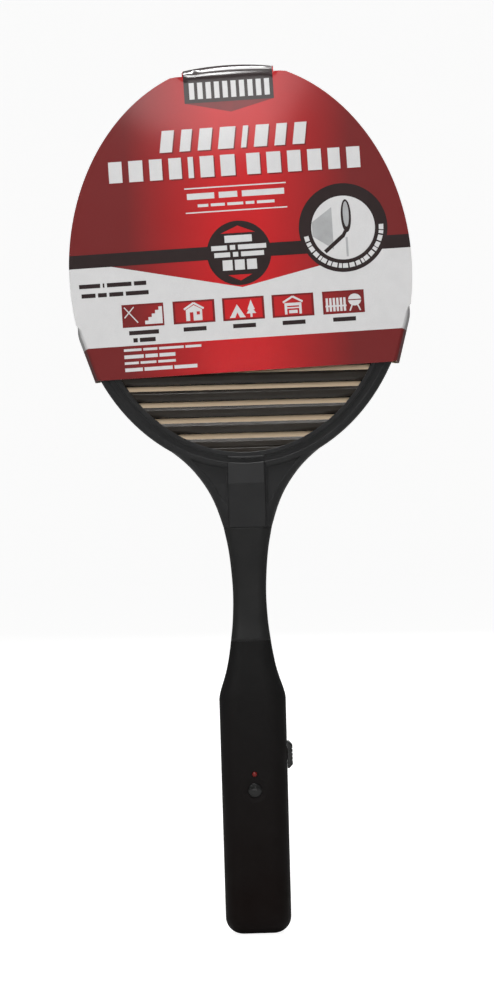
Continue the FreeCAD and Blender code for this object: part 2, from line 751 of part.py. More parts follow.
def neck_sleeve():
    """The soft outer sleeve, with a tail that plugs into the part at each end."""
    outside = loft("sleeve_outside", NECK_SECTIONS)
    low_tail = loft("sleeve_low_tail", [
        ("neck_bottom - neck_tail", "8.6", "8.2", "3.6"),
        ("neck_bottom + 1", "8.6", "8.2", "3.6"),
    ], ruled=True)
    high_tail = loft("sleeve_high_tail", [
        ("yoke_bottom - 1", "11.0", "8.6", "4"),
        ("yoke_bottom + neck_tail", "11.0", "8.0", "4"),
    ], ruled=True)
    whole = fuse("sleeve_whole", outside, low_tail, high_tail)
    channel = neck_channel("sleeve_channel", "neck_bottom - 2 * neck_tail", "yoke_bottom + 2 * neck_tail")
    return node(cut("neck_sleeve", whole, channel), "neck_sleeve")


def neck_blade():
    """The flat spring that bends and holds the head."""
    piece = body("neck_blade")
    sketch = body_sketch(piece, "blade_outline", "XZ_Plane")
    outline(sketch, [
        ("-blade_half", "blade_low"),
        ("blade_half", "blade_low"),
        ("blade_half", "blade_high"),
        ("-blade_half", "blade_high"),
    ])
    pad(piece, sketch, "blade_thick", both_ways=True)


def blade_anchor(label, low):
    """The block that clamps one end of the blade and lets the leads through."""
    high = f"{low} + anchor_tall"
    block = box(f"{label}_block", ("-anchor_half", "anchor_half"), ("-anchor_deep", "anchor_deep"), (low, high))
    slot = box(f"{label}_slot", ("-blade_half - play", "blade_half + play"),
               ("-blade_thick / 2 - play", "blade_thick / 2 + play"), (f"{low} - 1", f"{high} + 1"))
    ways = []
    for side in (-1, 1):
        ways.append(cylinder(f"{label}_way_{side + 1}", "lead_radius + play", "anchor_tall + 2",
                             f"{side} * lead_side", "0", f"{low} - 1"))
    return node(cut(label, block, slot, *ways), label)


def tube_along(name, points, radius):
    """A round wire through a smooth curve of points, built directly."""
    curve = Part.BSplineCurve()
    curve.interpolate([Vector(*point) for point in points])
    path = Part.Wire(curve.toShape())
    start = Vector(*points[0])
    tangent = curve.tangent(curve.FirstParameter)[0]
    ring = Part.Wire(Part.makeCircle(radius, start, tangent))
    feature = doc.addObject("Part::Feature", name)
    feature.Shape = path.makePipeShell([ring], True, True)
    return feature


def neck_leads():
    """Two high-voltage leads from the circuit board through the neck."""
    members = []
    for side in (-1, 1):
        members.append(cylinder(f"neck_lead_{side + 1}", "lead_radius", "blade_high - board_high - 3",
                                f"{side} * lead_side", "0", "board_high + 3"))
    return node(group("neck_leads", members), "neck_leads")


def head_leads():
    """The leads' last stretch, from the neck to the ends of the bus strips."""
    members = []
    start = size("blade_high + 0.2")
    x = size("lead_side")
    strip_low = size("head_centre - (head_tall - rim_wide + guard_gap + guard_ring + strip_thick)")
    end = strip_low - size("lead_radius + play / 2")
    for side in (-1, 1):
        points = [
            (side * x, 0, start),
            (side * (x + 1.5), 0, start + (end - start) * 0.5),
            (side * (x + 2.5), 0, end),
        ]
        members.append(tube_along(f"head_lead_{side + 1}", points, size("lead_radius")))
    return node(group("head_leads", members), "head_leads")


# ---------------------------------------------------------------- handle shells


def handle_screw_places():
    """Side and height of the handle's three screws."""
    return [("-13.4", "73.5"), ("13.4", "73.5"), ("0", "142")]


def handle_solid(name, inset="0"):
    """The handle's outer shape, or the hollow inside it when an inset is given."""
    top = SHOULDER_SECTIONS[0]
    grip = loft(f"{name}_grip", [
        (inset, "grip_wide", "grip_deep", "grip_round"),
        ("shoulder", str(top[1]), str(top[2]), str(top[3])),
    ], inset, ruled=True)
    bottom = size(inset)
    soft_grip = rounded_edges(
        f"{name}_soft_grip", grip, f"butt_round - ({inset})",
        lambda edge: edge.BoundBox.ZMax < bottom + 0.01,
    )
    shoulder = loft(f"{name}_shoulder", SHOULDER_SECTIONS, inset)
    return fuse(name, soft_grip, shoulder)


def shell_blank(name, side):
    """Half of the hollow handle, on the front or the rear side of the parting plane."""
    keep = box(f"{name}_keep", ("-2 * grip_wide", "2 * grip_wide"), half("2 * grip_deep", side),
               ("-1", "neck_bottom"))
    hollow = handle_solid(f"{name}_hollow", "wall")
    mouth = loft(f"{name}_mouth", [
        ("neck_bottom - neck_tail - 3", "8.9", "8.5", "3.9"),
        ("neck_bottom + 1", "8.9", "8.5", "3.9"),
    ], ruled=True)
    return cut(f"{name}_blank", common(f"{name}_half", handle_solid(f"{name}_outer"), keep), hollow, mouth)


def knob_slot(name):
    """The slot in the right-hand side that the side knob's stem runs in."""
    return box(name, ("grip_wide - wall - 2", "grip_wide + 4"), ("-2.4", "2.4"),
               ("knob_centre - knob_stem / 2 - play", "knob_centre + knob_stem / 2 + knob_travel + play"))


def handle_front_shell():
    """Front shell: grip face with the button's dish, the lamp's hole and three screw bosses."""
    blank = shell_blank("front_shell", -1)
    bosses = []
    pilots = []
    for number, (x, z) in enumerate(handle_screw_places()):
        inside = "grip_deep - wall / 2"
        bosses.append(cylinder(f"front_boss_{number}", "handle_boss", f"{inside} - seam / 2",
                               x, f"-({inside})", z, ALONG_Y))
        pilots.append(cylinder(f"front_pilot_{number}", "handle_screw + play / 3", "grip_deep - wall - 2",
                               x, "-grip_deep + wall + 2", z, ALONG_Y))
    trim = common("front_boss_trim", fuse("front_bosses", *bosses), handle_solid("front_trim", "wall / 2"))
    shell = fuse("front_shell_with_bosses", blank, trim)
    ball_radius = "(pow(dish_radius; 2) + pow(dish_deep; 2)) / (2 * dish_deep)"
    dish = doc.addObject("Part::Sphere", "button_dish")
    bind(dish, Radius=ball_radius)
    place(dish, "0", f"-{button_face()} + dish_deep - {ball_radius}", "button_height")
    button_hole = cylinder("button_hole", "button_radius + play", "10", "0", "-grip_deep - 3",
                           "button_height", ALONG_Y)
    lamp_hole = cylinder("lamp_hole", "lamp_radius + play", "10", "0", "-grip_deep - 3", "lamp_height", ALONG_Y)
    return node(cut("handle_front_shell", shell, dish, button_hole, lamp_hole, knob_slot("front_knob_slot"),
                    *pilots), "handle_front_shell")


def button_face():
    """How far the grip's front face stands from the middle, at the button's height."""
    deeper = SHOULDER_SECTIONS[0][2]
    return f"(grip_deep + ({deeper} - grip_deep) * button_height / shoulder)"


def cover_opening(name, grow):
    """The block that the battery cover fills in the rear shell, made larger by grow."""
    return box(name, (f"-cover_half - ({grow})", f"cover_half + ({grow})"), ("cell_back + 2", "2 * grip_deep"),
               (f"cover_low - ({grow})", f"cover_high + ({grow})"))


def handle_rear_shell():
    """Rear shell: battery opening, hook pocket and the screws' counterbored holes."""
    blank = shell_blank("rear_shell", 1)
    bosses = []
    holes = []
    for number, (x, z) in enumerate(handle_screw_places()):
        bosses.append(cylinder(f"rear_boss_{number}", "handle_boss + 0.6", "grip_deep - wall / 2 - seam / 2",
                               x, "seam / 2", z, ALONG_Y))
        holes.append(cylinder(f"rear_hole_{number}", "handle_screw + play", "2 * grip_deep", x, "0", z, ALONG_Y))
        holes.append(cylinder(f"rear_sink_{number}", "handle_screw_head + play", "grip_deep",
                              x, screw_seat(number), z, ALONG_Y))
    pocket_low = "hook_pin_height - hook_long - hook_half - 2"
    pocket_high = "hook_pin_height + hook_half"
    pocket_floor = "hook_back - hook_thick / 2 - play"
    pocket_wall = box("pocket_wall", ("-pocket_half - 1.2", "pocket_half + 1.2"),
                      (f"{pocket_floor} - 1.2", "grip_deep"), (f"{pocket_low} - 1.2", f"{pocket_high} + 1.2"))
    inside = common("rear_inside", fuse("rear_inserts", pocket_wall, *bosses),
                    handle_solid("rear_trim", "wall / 2"))
    pocket = box("pocket", ("-pocket_half", "pocket_half"), (pocket_floor, "2 * grip_deep"),
                 (pocket_low, pocket_high))
    pin_hole = cylinder("pin_hole", "hook_pin_radius + play / 3", "2 * (pocket_half + 1)",
                        "-pocket_half - 1", "hook_back", "hook_pin_height", ALONG_X)
    shell = fuse("rear_shell_with_inserts", blank, inside)
    return node(cut("handle_rear_shell", shell, cover_opening("rear_opening", "play"), pocket, pin_hole,
                    knob_slot("rear_knob_slot"), *holes), "handle_rear_shell")


def screw_seat(number):
    """Depth at which each handle screw's head rests."""
    return ["6", "6", "9"][number]


def handle_screws():
    screws = []
    for number, (x, z) in enumerate(handle_screw_places()):
        seat = screw_seat(number)
        screws.append(screw(f"handle_screw_{number}", x, z, seat, "handle_screw", "handle_screw_head",
                            "1.6", f"{seat} + 8"))
    return node(group("handle_screws", screws), "handle_screws")


# ---------------------------------------------------------------- battery compartment


def battery_cover():
    """The lift-off cover: a piece of the rear shell's wall with ribs and two tongues."""
    wall = cut("cover_wall",
               common("cover_patch", handle_solid("cover_outer"), cover_opening("cover_block", "0")),
               handle_solid("cover_hollow", "wall"))
    grooves = []
    for number in range(5):
        z = f"cover_high - 6 - {number} * 2.4"
        grooves.append(box(f"cover_groove_{number}", ("-7", "7"), ("grip_deep - 0.35", "2 * grip_deep"),
                           (z, f"{z} + 1.1")))
    return node(cut("battery_cover", wall, *grooves), "battery_cover")


def battery_tray():
    """The open tray under the cells, with an end wall for the contacts at each end."""
    floor_back = "cell_back - cell_radius - play"
    floor = box("tray_floor", ("-tray_half", "tray_half"), (f"{floor_back} - tray_wall", floor_back),
                ("tray_low", "tray_high"))
    ends = []
    for name, low in (("low", "tray_low"), ("high", "tray_high - tray_wall")):
        ends.append(box(f"tray_end_{name}", ("-tray_half + 1.5", "tray_half - 1.5"),
                        (f"{floor_back} - tray_wall", "cell_back + 1.6"), (low, f"{low} + tray_wall")))
    return node(fuse("battery_tray", floor, *ends), "battery_tray")


def aa_cell(label, side, nub_up):
    """One AA cell standing in the tray, nub up or nub down."""
    tip = "cell_radius * 0.38"
    corners = [
        ("0", "cell_low"),
        ("cell_radius", "cell_low"),
        ("cell_radius", "cell_high"),
        (tip, "cell_high"),
        (tip, "cell_high + cell_nub"),
        ("0", "cell_high + cell_nub"),
    ]
    if not nub_up:
        flipped = []
        for radius, height in corners:
            flipped.append((radius, f"cell_low + cell_high + cell_nub - ({height})"))
        corners = list(reversed(flipped))
    piece = turned(label, corners)
    place(piece, f"{side} * cell_side", "cell_back", "0")
    return piece


def coil(low, high, wide, narrow, turns):
    """Points of a coil along its own axis: across, up and along, narrowing from low to high."""
    steps = turns * SPRING_STEPS
    points = []
    for step in range(steps + 1):
        share = step / steps
        angle = 2 * math.pi * turns * share
        radius = wide + (narrow - wide) * share
        points.append((radius * math.cos(angle), radius * math.sin(angle), low + (high - low) * share))
    return points


def contact_spring(name, x, low, length):
    """A conical contact spring, wide at its lower end, built directly as a swept wire."""
    wire = size("spring_wire")
    points = coil(low + wire, low + length - wire, 3.9, 2.2, 2)
    back = size("cell_back")
    return tube_along(name, [(x + across, back + up, along) for across, up, along in points], wire)


def battery_springs():
    """Springs at the flat end of each cell."""
    low_room = size("cell_low - tray_low - tray_wall")
    low = contact_spring("spring_low", -size("cell_side"), size("tray_low + tray_wall") + 0.1, low_room - 0.2)
    top_of_cell = size("cell_high + cell_nub")
    high_room = size("tray_high - tray_wall") - top_of_cell
    high = contact_spring("spring_high", size("cell_side"), top_of_cell + 0.1, high_room - 0.2)
    return node(group("battery_springs", [low, high]), "battery_springs")


def battery_contacts():
    """Contact plates at the nub end of each cell."""
    members = []
    high = "tray_high - tray_wall - play"
    members.append(box("contact_high", ("-cell_side - 4", "-cell_side + 4"), ("cell_back - 5", "cell_back + 1.5"),
                       ("cell_high + cell_nub + play", high)))
    low = "tray_low + tray_wall + play"
    members.append(box("contact_low", ("cell_side - 4", "cell_side + 4"), ("cell_back - 5", "cell_back + 1.5"),
                       (low, "cell_low - play")))
    return node(group("battery_contacts", members), "battery_contacts")


# ---------------------------------------------------------------- circuit


def circuit_board():
    """The converter's board, with its corner notches for the screw bosses."""
    piece = body("circuit_board")
    sketch = body_sketch(piece, "board_outline", "XZ_Plane", "-board_front")
    outline(sketch, [
        ("-board_half", "board_low"),
        ("board_half", "board_low"),
        ("board_half", "board_high"),
        ("-board_half", "board_high"),
    ])
    feature = pad(piece, sketch, "board_thick")
    feature.Reversed = True


def on_board_rear(name, x, z, height):
    """A block on the board's rear face."""
    rear = "board_front + board_thick + play / 3"
    return box(name, x, (rear, f"{rear} + ({height})"), z)


def circuit_parts():
    """The components soldered to the board."""
    rear = "board_front + board_thick + play / 3"
    core = on_board_rear("core_block", ("-6.5", "6.5"), ("119", "131"), "9")
    window = box("core_window", ("-4.4", "4.4"), ("-5", "12"), ("121.5", "128.5"))
    leg = box("core_leg", ("-1.6", "1.6"), (f"{rear} + 2.8", f"{rear} + 6.2"), ("121", "129"))
    node(fuse("transformer_core", cut("core_frame", core, window), leg), "transformer_core")
    coil = box("coil_block", ("-4.2", "4.2"), (f"{rear} + 0.4", f"{rear} + 8.6"), ("121.7", "128.3"))
    coil_hole = box("coil_hole", ("-1.8", "1.8"), (f"{rear} + 2.6", f"{rear} + 6.4"), ("121", "129"))
    node(cut("transformer_coil", coil, coil_hole), "transformer_coil")

    node(on_board_rear("storage_capacitor", ("-8.2", "1.2"), ("104", "116"), "7"), "storage_capacitor")

    diodes = []
    for number in range(3):
        diodes.append(cylinder(f"diode_{number}", "1.2", "4.6", "-8.8", f"{rear} + 1.3",
                               f"90 + {number} * 4", ALONG_X))
    node(group("rectifier_diodes", diodes), "rectifier_diodes")

    resistors = []
    for number in range(3):
        resistors.append(cylinder(f"resistor_{number}", "1.1", "5.6", "-1.6", f"{rear} + 1.2",
                                  f"86 + {number} * 4", ALONG_X))
    node(group("resistors", resistors), "resistors")

    can = cylinder("transistor_can", "2.4", "5", "-6", f"{rear} + 2.6", "76")
    flat = box("transistor_flat", ("-9", "-3"), (f"{rear} + 4", f"{rear} + 8"), ("75", "82"))
    node(cut("switching_transistor", can, flat), "switching_transistor")

    front = "board_front - play / 3"
    block = box("switch_block", ("-switch_half", "switch_half"), (f"{front} - switch_deep", front),
                ("button_height - switch_half", "button_height + switch_half"))
    well = cylinder("switch_well", "plunger_radius + play", "switch_deep", "0",
                    f"{front} - switch_floor - switch_deep", "button_height", ALONG_Y)
    node(cut("button_switch", block, well), "button_switch")
    room = "switch_floor + play + button_travel"
    node(cylinder("switch_plunger", "plunger_radius", f"switch_reach - ({room})", "0", f"{front} - switch_reach",
                  "button_height", ALONG_Y), "switch_plunger")
    node(on_board_rear("slide_switch_body", ("4.4", "10.2"), ("knob_centre - 6", "knob_centre + 6 + knob_travel"),
                       "5"), "slide_switch_body")


# ---------------------------------------------------------------- controls


def lamp():
    """The red lamp: a domed lens on a flange, looking out through the front shell."""
    piece = body("led_indicator")
    sketch = body_sketch(piece, "lamp_outline", "XZ_Plane")
    tip = "grip_deep + 0.5"
    start = "-board_front + 0.1"
    outline(sketch, [
        ("0", start),
        ("lamp_radius + 0.3", start),
        ("lamp_radius + 0.3", f"{start} + 1"),
        ("lamp_radius", f"{start} + 1"),
        ("lamp_radius", f"{tip} - 1"),
        ("lamp_radius * 0.86", f"{tip} - 0.5"),
        ("lamp_radius * 0.5", f"{tip} - 0.12"),
        ("0", tip),
    ])
    revolve(piece, sketch)
    piece.Placement = Placement(Vector(), Rotation(Vector(1, 0, 0), 90))
    piece.setExpression("Placement.Base.z", linked("lamp_height"))


def push_button():
    """The domed button, its retaining flange and the stem that presses the switch."""
    piece = body("push_button")
    sketch = body_sketch(piece, "button_outline", "XZ_Plane")
    face = f"{button_face()} - dish_deep + button_proud"
    flange_top = "grip_deep - wall - 0.25"
    stem_end = "-board_front + switch_reach + play"
    outline(sketch, [
        ("0", stem_end),
        ("plunger_radius", stem_end),
        ("plunger_radius", f"{flange_top} - 1"),
        ("button_radius + 1.1", f"{flange_top} - 1"),
        ("button_radius + 1.1", flange_top),
        ("button_radius", flange_top),
        ("button_radius", f"{face} - 1"),
        ("button_radius * 0.93", f"{face} - 0.55"),
        ("button_radius * 0.72", f"{face} - 0.22"),
        ("button_radius * 0.4", f"{face} - 0.05"),
        ("0", face),
    ])
    revolve(piece, sketch)
    piece.Placement = Placement(Vector(), Rotation(Vector(1, 0, 0), 90))
    piece.setExpression("Placement.Base.z", linked("button_height"))


def button_spring():
    """The return spring round the button's stem, built directly as a swept wire."""
    wire = 0.25
    low = size("-board_front + switch_deep") + 0.3
    high = size("grip_deep - wall - 0.25 - 1") - 0.2
    radius = 2.3
    points = coil(low + wire, high - wire, radius, radius, 4)
    height = size("button_height")
    path = [(across, -along, height + up) for across, up, along in points]
    return node(tube_along("button_spring", path, wire), "button_spring")


def side_switch_knob():
    """The side slider: a ridged cap outside, a stem through the slot and a fork on the switch."""
    surface = "grip_wide + 0.35"
    low = "knob_centre - knob_long / 2"
    high = "knob_centre + knob_long / 2"
    corners = [
        (surface, low),
        (f"{surface} + 1", low),
        (f"{surface} + knob_proud", f"{low} + 2.2"),
        (f"{surface} + knob_proud", f"{high} - 2.2"),
        (f"{surface} + 1", high),
        (surface, high),
    ]
    cap = plate("knob_cap", corners, ("-knob_half", "knob_half"))
    soft = rounded_edges(
        "knob_soft_cap", cap, "0.8",
        lambda edge: abs(abs(edge.BoundBox.YMin) - size("knob_half")) < 0.01 and edge.BoundBox.YLength < 0.01
        and edge.BoundBox.XMax > size("grip_wide") + 1,
    )
    ridges = []
    for number in range(4):
        z = f"knob_centre - 3.75 + {number} * 2.2"
        ridges.append(box(f"knob_ridge_{number}", (f"{surface} + knob_proud - 0.5", f"{surface} + knob_proud + 1"),
                          ("-2 * knob_half", "2 * knob_half"), (z, f"{z} + 0.9")))
    cap_done = cut("knob_ridged", soft, *ridges)
    stem = box("knob_stem_block", ("11.2", f"{surface} + 0.5"), ("-2.2", "2.2"),
               ("knob_centre - knob_stem / 2", "knob_centre + knob_stem / 2"))
    return node(fuse("side_switch_knob", cap_done, stem), "side_switch_knob")


# ---------------------------------------------------------------- hook


def hang_hook():
    """The fold-out hanger: a flat link with a hinge eye and a hanging hole."""
    front = "hook_back - hook_thick / 2"
    low = "hook_pin_height - hook_long"
    link = box("hook_link", ("-hook_half + 0.6", "hook_half - 0.6"), (front, f"{front} + hook_thick"),
               (low, "hook_pin_height"))
    ring = cylinder("hook_ring", "hook_half", "hook_thick", "0", front, low, ALONG_Y)
    eye = cylinder("hook_eye", "hook_thick / 2", "2 * hook_half", "-hook_half", "hook_back",
                   "hook_pin_height", ALONG_X)
    hole = cylinder("hook_hole", "hang_hole", "4 * hook_thick", "0", "hook_back - 2 * hook_thick", low, ALONG_Y)
    bore = cylinder("hook_bore", "hook_pin_radius + play / 3", "4 * hook_half", "-2 * hook_half",
                    "hook_back", "hook_pin_height", ALONG_X)
    return node(cut("hang_hook", fuse("hook_blank", link, ring, eye), hole, bore), "hang_hook")


def hook_pin():
    """The pin that the hook turns on."""
    return node(cylinder("hook_pin", "hook_pin_radius", "2 * (pocket_half + 0.9)", "-pocket_half - 0.9",
                         "hook_back", "hook_pin_height", ALONG_X), "hook_pin")


# ---------------------------------------------------------------- retail card


def card_panel(name, y, lower_corners):
    """One oval panel of the card, cut to straight sides below the fold height."""
    disc = oval(f"{name}_oval", "card_wide", "card_tall", y)
    flare = "(card_wide - card_front_half) * 1.4"
    corners = [(f"card_front_half + {flare}", "card_fold + (card_fold - card_front_low) * 0.4"),
               (f"card_front_half + {flare}", "card_top + 10"),
               (f"-(card_front_half + {flare})", "card_top + 10"),
               (f"-(card_front_half + {flare})", "card_fold + (card_fold - card_front_low) * 0.4")]
    left = [(f"-({x})", z) for x, z in lower_corners]
    mask = plate(f"{name}_mask", corners + left + list(reversed(lower_corners)), y)
    crown = box(f"{name}_crown", ("-card_bridge_half", "card_bridge_half"), y, ("card_top - 20", "card_top"))
    return fuse(name, common(f"{name}_trimmed", disc, mask), crown)


def package_sleeve():
    """The folded retail card: front and back panels, the fold over the head and two side tabs."""
    front_depth = ("-card_face - card_thick", "-card_face")
    back_depth = ("card_face", "card_face + card_thick")
    front = card_panel("card_front", front_depth, [("card_front_half", "card_front_low")])
    back = card_panel("card_back", back_depth, [
        ("card_front_half", "card_front_low"),
        ("card_front_half * 0.68", "card_back_low + 15"),
        ("card_back_half", "card_back_low"),
    ])
    whole_depth = ("-card_face - card_thick", "card_face + card_thick")
    bridge = box("card_bridge", ("-card_bridge_half", "card_bridge_half"), whole_depth,
                 ("card_top - card_thick", "card_top"))
    tabs = []
    for side in (-1, 1):
        ends = ["card_tab_side", "card_tab_side + card_thick"]
        if side < 0:
            ends = [f"-({end})" for end in reversed(ends)]
        tabs.append(box(f"card_tab_{side + 1}", ends, whole_depth, ("card_tab_low", "card_tab_high")))
    return node(fuse("package_sleeve", front, back, bridge, *tabs), "package_sleeve")


# ---------------------------------------------------------------- build and write


def build():
    head_frame("front_frame", -1)
    head_frame("rear_frame", 1)
    head_screws()
    guard("front_guard", -1)
    guard("rear_guard", 1)
    electrode_carrier()
    rods("live_rods", 1)
    rods("return_rods", -1)
    bus_strip("live_bus_strip", -1)
    bus_strip("return_bus_strip", 1)
    neck_sleeve()
    neck_blade()
    blade_anchor("lower_blade_anchor", "blade_low - 1")
    blade_anchor("upper_blade_anchor", "blade_high - anchor_tall")
    neck_leads()
    head_leads()
    handle_front_shell()
    handle_rear_shell()
    handle_screws()
    battery_cover()
    battery_tray()
    aa_cell("aa_cell_left", -1, True)
    aa_cell("aa_cell_right", 1, False)
    battery_springs()
    battery_contacts()
    circuit_board()
    circuit_parts()
    lamp()
    push_button()
    button_spring()
    side_switch_knob()
    hang_hook()
    hook_pin()
    package_sleeve()


def check():
    """Stop if any object failed, or if a piece's shape is missing or broken."""
    for thing in doc.Objects:
        states = set(thing.State)
        if states & {"Invalid", "Error"}:
            raise RuntimeError(f"{thing.Name} ({thing.Label}) failed: {thing.State}")
    for thing in nodes:
        shape = thing.Shape
        if shape.isNull() or not shape.isValid() or shape.Volume <= 0:
            raise RuntimeError(f"{thing.Label} has no valid shape")


def write():
    os.makedirs("parts", exist_ok=True)
    for thing in nodes:
        thing.Shape.exportStep(f"parts/{thing.Label}.step")
        print(f"{thing.Label}: {len(thing.Shape.Solids)} solid(s), {thing.Shape.Volume:.1f} mm3")


build()
doc.recompute()
check()
write()
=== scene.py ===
"""How the electric fly swatter looks: finishes, the soft neck, the printed retail card, light and camera.

Lengths in the tables below are in millimetres.
"""

import json
import math

import bpy
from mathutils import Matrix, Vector
from mathutils.geometry import delaunay_2d_cdt


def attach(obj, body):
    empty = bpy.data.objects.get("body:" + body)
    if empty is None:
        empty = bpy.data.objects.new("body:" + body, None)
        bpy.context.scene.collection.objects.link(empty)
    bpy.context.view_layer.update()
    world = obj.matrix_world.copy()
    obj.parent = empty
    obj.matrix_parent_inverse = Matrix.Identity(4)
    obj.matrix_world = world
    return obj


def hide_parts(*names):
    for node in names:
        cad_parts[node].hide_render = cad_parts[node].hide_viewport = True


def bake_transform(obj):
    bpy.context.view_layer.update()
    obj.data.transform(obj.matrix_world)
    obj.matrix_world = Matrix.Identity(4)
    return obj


MM = 0.001

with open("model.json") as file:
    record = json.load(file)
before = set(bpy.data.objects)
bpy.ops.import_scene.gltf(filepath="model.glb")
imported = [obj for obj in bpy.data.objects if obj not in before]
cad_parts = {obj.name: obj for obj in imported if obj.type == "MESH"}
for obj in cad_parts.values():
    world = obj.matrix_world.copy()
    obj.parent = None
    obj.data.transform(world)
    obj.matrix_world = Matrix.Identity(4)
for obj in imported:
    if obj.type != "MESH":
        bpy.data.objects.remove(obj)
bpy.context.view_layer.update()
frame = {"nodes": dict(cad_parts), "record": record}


# ---------------------------------------------------------------- material helpers


class Look:
    """A node material under construction, with short ways to add its patterns."""

    def __init__(self, name):
        self.material = bpy.data.materials.new(name)
        self.material.use_nodes = True
        self.tree = self.material.node_tree
        self.shader = self.tree.nodes["Principled BSDF"]
        self.position = self.tree.nodes.new("ShaderNodeTexCoord").outputs["Object"]

    def link(self, output, target):
        self.tree.links.new(output, target)

    def value(self, **settings):
        """Set plain inputs of the shader, with _ for each space in their names."""
        for name, setting in settings.items():
            self.shader.inputs[name.replace("_", " ")].default_value = setting

    def stretched(self, scale):
        """The object's position, scaled apart along each axis."""
        mapping = self.tree.nodes.new("ShaderNodeMapping")
        mapping.inputs["Scale"].default_value = scale
        self.link(self.position, mapping.inputs["Vector"])
        return mapping.outputs["Vector"]

    def noise(self, grain, detail=3.0, stretch=(1, 1, 1)):
        """Noise whose features are about grain millimetres across."""
        noise = self.tree.nodes.new("ShaderNodeTexNoise")
        noise.inputs["Scale"].default_value = 1 / (grain * MM)
        noise.inputs["Detail"].default_value = detail
        self.link(self.stretched(stretch), noise.inputs["Vector"])
        return noise.outputs["Fac"]

    def cells(self, grain):
        """Distances to scattered points about grain millimetres apart."""
        cells = self.tree.nodes.new("ShaderNodeTexVoronoi")
        cells.inputs["Scale"].default_value = 1 / (grain * MM)
        self.link(self.position, cells.inputs["Vector"])
        return cells.outputs["Distance"]

    def spread(self, source, low, high, start=0.3, end=0.7):
        """Map source from start..end to low..high."""
        spread = self.tree.nodes.new("ShaderNodeMapRange")
        for name, setting in zip(("From Min", "From Max", "To Min", "To Max"), (start, end, low, high)):
            spread.inputs[name].default_value = setting
        self.link(source, spread.inputs["Value"])
        return spread.outputs["Result"]

    def blend_colours(self, factor, first, second):
        """A colour between first and second; either may be a colour or a socket."""
        mix = self.tree.nodes.new("ShaderNodeMix")
        mix.data_type = "RGBA"
        self.link(factor, mix.inputs["Factor"])
        for socket, colour in zip((mix.inputs[6], mix.inputs[7]), (first, second)):
            if isinstance(colour, tuple):
                socket.default_value = (*colour, 1)
            else:
                self.link(colour, socket)
        return mix.outputs[2]

    def colour(self, source):
        self.link(source, self.shader.inputs["Base Color"])

    def rough(self, source):
        self.link(source, self.shader.inputs["Roughness"])

    def relief(self, height, depth, soft_edge=0.0):
        """Raise the surface by height times depth millimetres, and soften edges by soft_edge."""
        bump = self.tree.nodes.new("ShaderNodeBump")
        bump.inputs["Distance"].default_value = depth * MM
        self.link(height, bump.inputs["Height"])
        if soft_edge:
            bevel = self.tree.nodes.new("ShaderNodeBevel")
            bevel.samples = 6
            bevel.inputs["Radius"].default_value = soft_edge * MM
            self.link(bevel.outputs["Normal"], bump.inputs["Normal"])
        self.link(bump.outputs["Normal"], self.shader.inputs["Normal"])

    def along(self, axis):
        """The object's position along one axis, in metres."""
        split = self.tree.nodes.new("ShaderNodeSeparateXYZ")
        self.link(self.position, split.inputs["Vector"])
        return split.outputs[axis]

    def calculate(self, operation, first, second=0.0):
        """A sum, product or other operation on sockets or numbers."""
        node = self.tree.nodes.new("ShaderNodeMath")
        node.operation = operation
        for socket, source in zip(node.inputs, (first, second)):
            if isinstance(source, (int, float)):
                socket.default_value = source
            else:
                self.link(source, socket)
        return node.outputs[0]


def moulded(name, dark, light, roughness, spark, depth, soft_edge):
    """Black moulded plastic: mottled tone, uneven sheen and a fine spark-eroded grain."""
    look = Look(name)
    look.colour(look.blend_colours(look.noise(14), dark, light))
    look.rough(look.spread(look.noise(6), roughness - 0.06, roughness + 0.08))
    look.relief(look.noise(spark, 2), depth, soft_edge)
    look.value(Specular_IOR_Level=0.38)
    return look.material


def handle_plastic():
    """Matte grip plastic with painted shade: a little browner and darker towards the butt, where less light
    falls.
    """
    look = Look("handle_plastic")
    # painted shade: the colour darkens and browns from 150 mm down to 20 mm above the butt
    height = look.spread(look.along("Z"), 0, 1, 0.02, 0.15)
    tone = look.blend_colours(height, (0.0040, 0.0017, 0.0012), (0.0088, 0.0086, 0.0086))
    look.colour(look.blend_colours(look.spread(look.noise(18), 0, 0.3), tone, (0.010, 0.009, 0.009)))
    look.rough(look.spread(look.noise(7), 0.42, 0.56))
    look.relief(look.noise(0.45, 2), 0.035, 0.35)
    look.value(Specular_IOR_Level=0.14)
    return look.material


def neck_rubber():
    """Soft-touch rubber with handling smears and a faint mould line texture."""
    look = Look("neck_rubber")
    look.colour(look.blend_colours(look.noise(16), (0.010, 0.010, 0.010), (0.018, 0.018, 0.018)))
    look.rough(look.spread(look.noise(5, 4, (1, 1, 0.3)), 0.36, 0.52))
    look.relief(look.noise(0.7, 3), 0.03, 0.4)
    look.value(Specular_IOR_Level=0.32)
    return look.material


def glossy(name, dark, light, roughness):
    """Polished black plastic with faint flow marks."""
    look = Look(name)
    look.colour(look.blend_colours(look.noise(9), dark, light))
    look.rough(look.spread(look.noise(12), roughness - 0.03, roughness + 0.05))
    look.relief(look.noise(9, 1), 0.02, 0.5)
    return look.material


def metal(name, dark, light, roughness, stretch):
    """Drawn or brushed metal, streaked along one axis."""
    look = Look(name)
    look.value(Metallic=1.0)
    look.colour(look.blend_colours(look.noise(1.2, 4, stretch), dark, light))
    look.rough(look.spread(look.noise(0.6, 3, stretch), roughness - 0.08, roughness + 0.1))
    look.relief(look.noise(0.35, 2, stretch), 0.015, 0.08)
    return look.material


def cell_jacket():
    """Battery film: dark jacket with a lighter band near one end and fine shrink wrinkles."""
    look = Look("cell_jacket")
    band = look.calculate("GREATER_THAN", look.along("Z"), 0.047)
    mottled = look.blend_colours(look.noise(5), (0.10, 0.10, 0.11), (0.15, 0.15, 0.16))
    look.colour(look.blend_colours(band, mottled, (0.48, 0.36, 0.14)))
    look.rough(look.spread(look.noise(2), 0.22, 0.36))
    look.relief(look.noise(1.4, 3, (1, 1, 0.4)), 0.03)
    return look.material


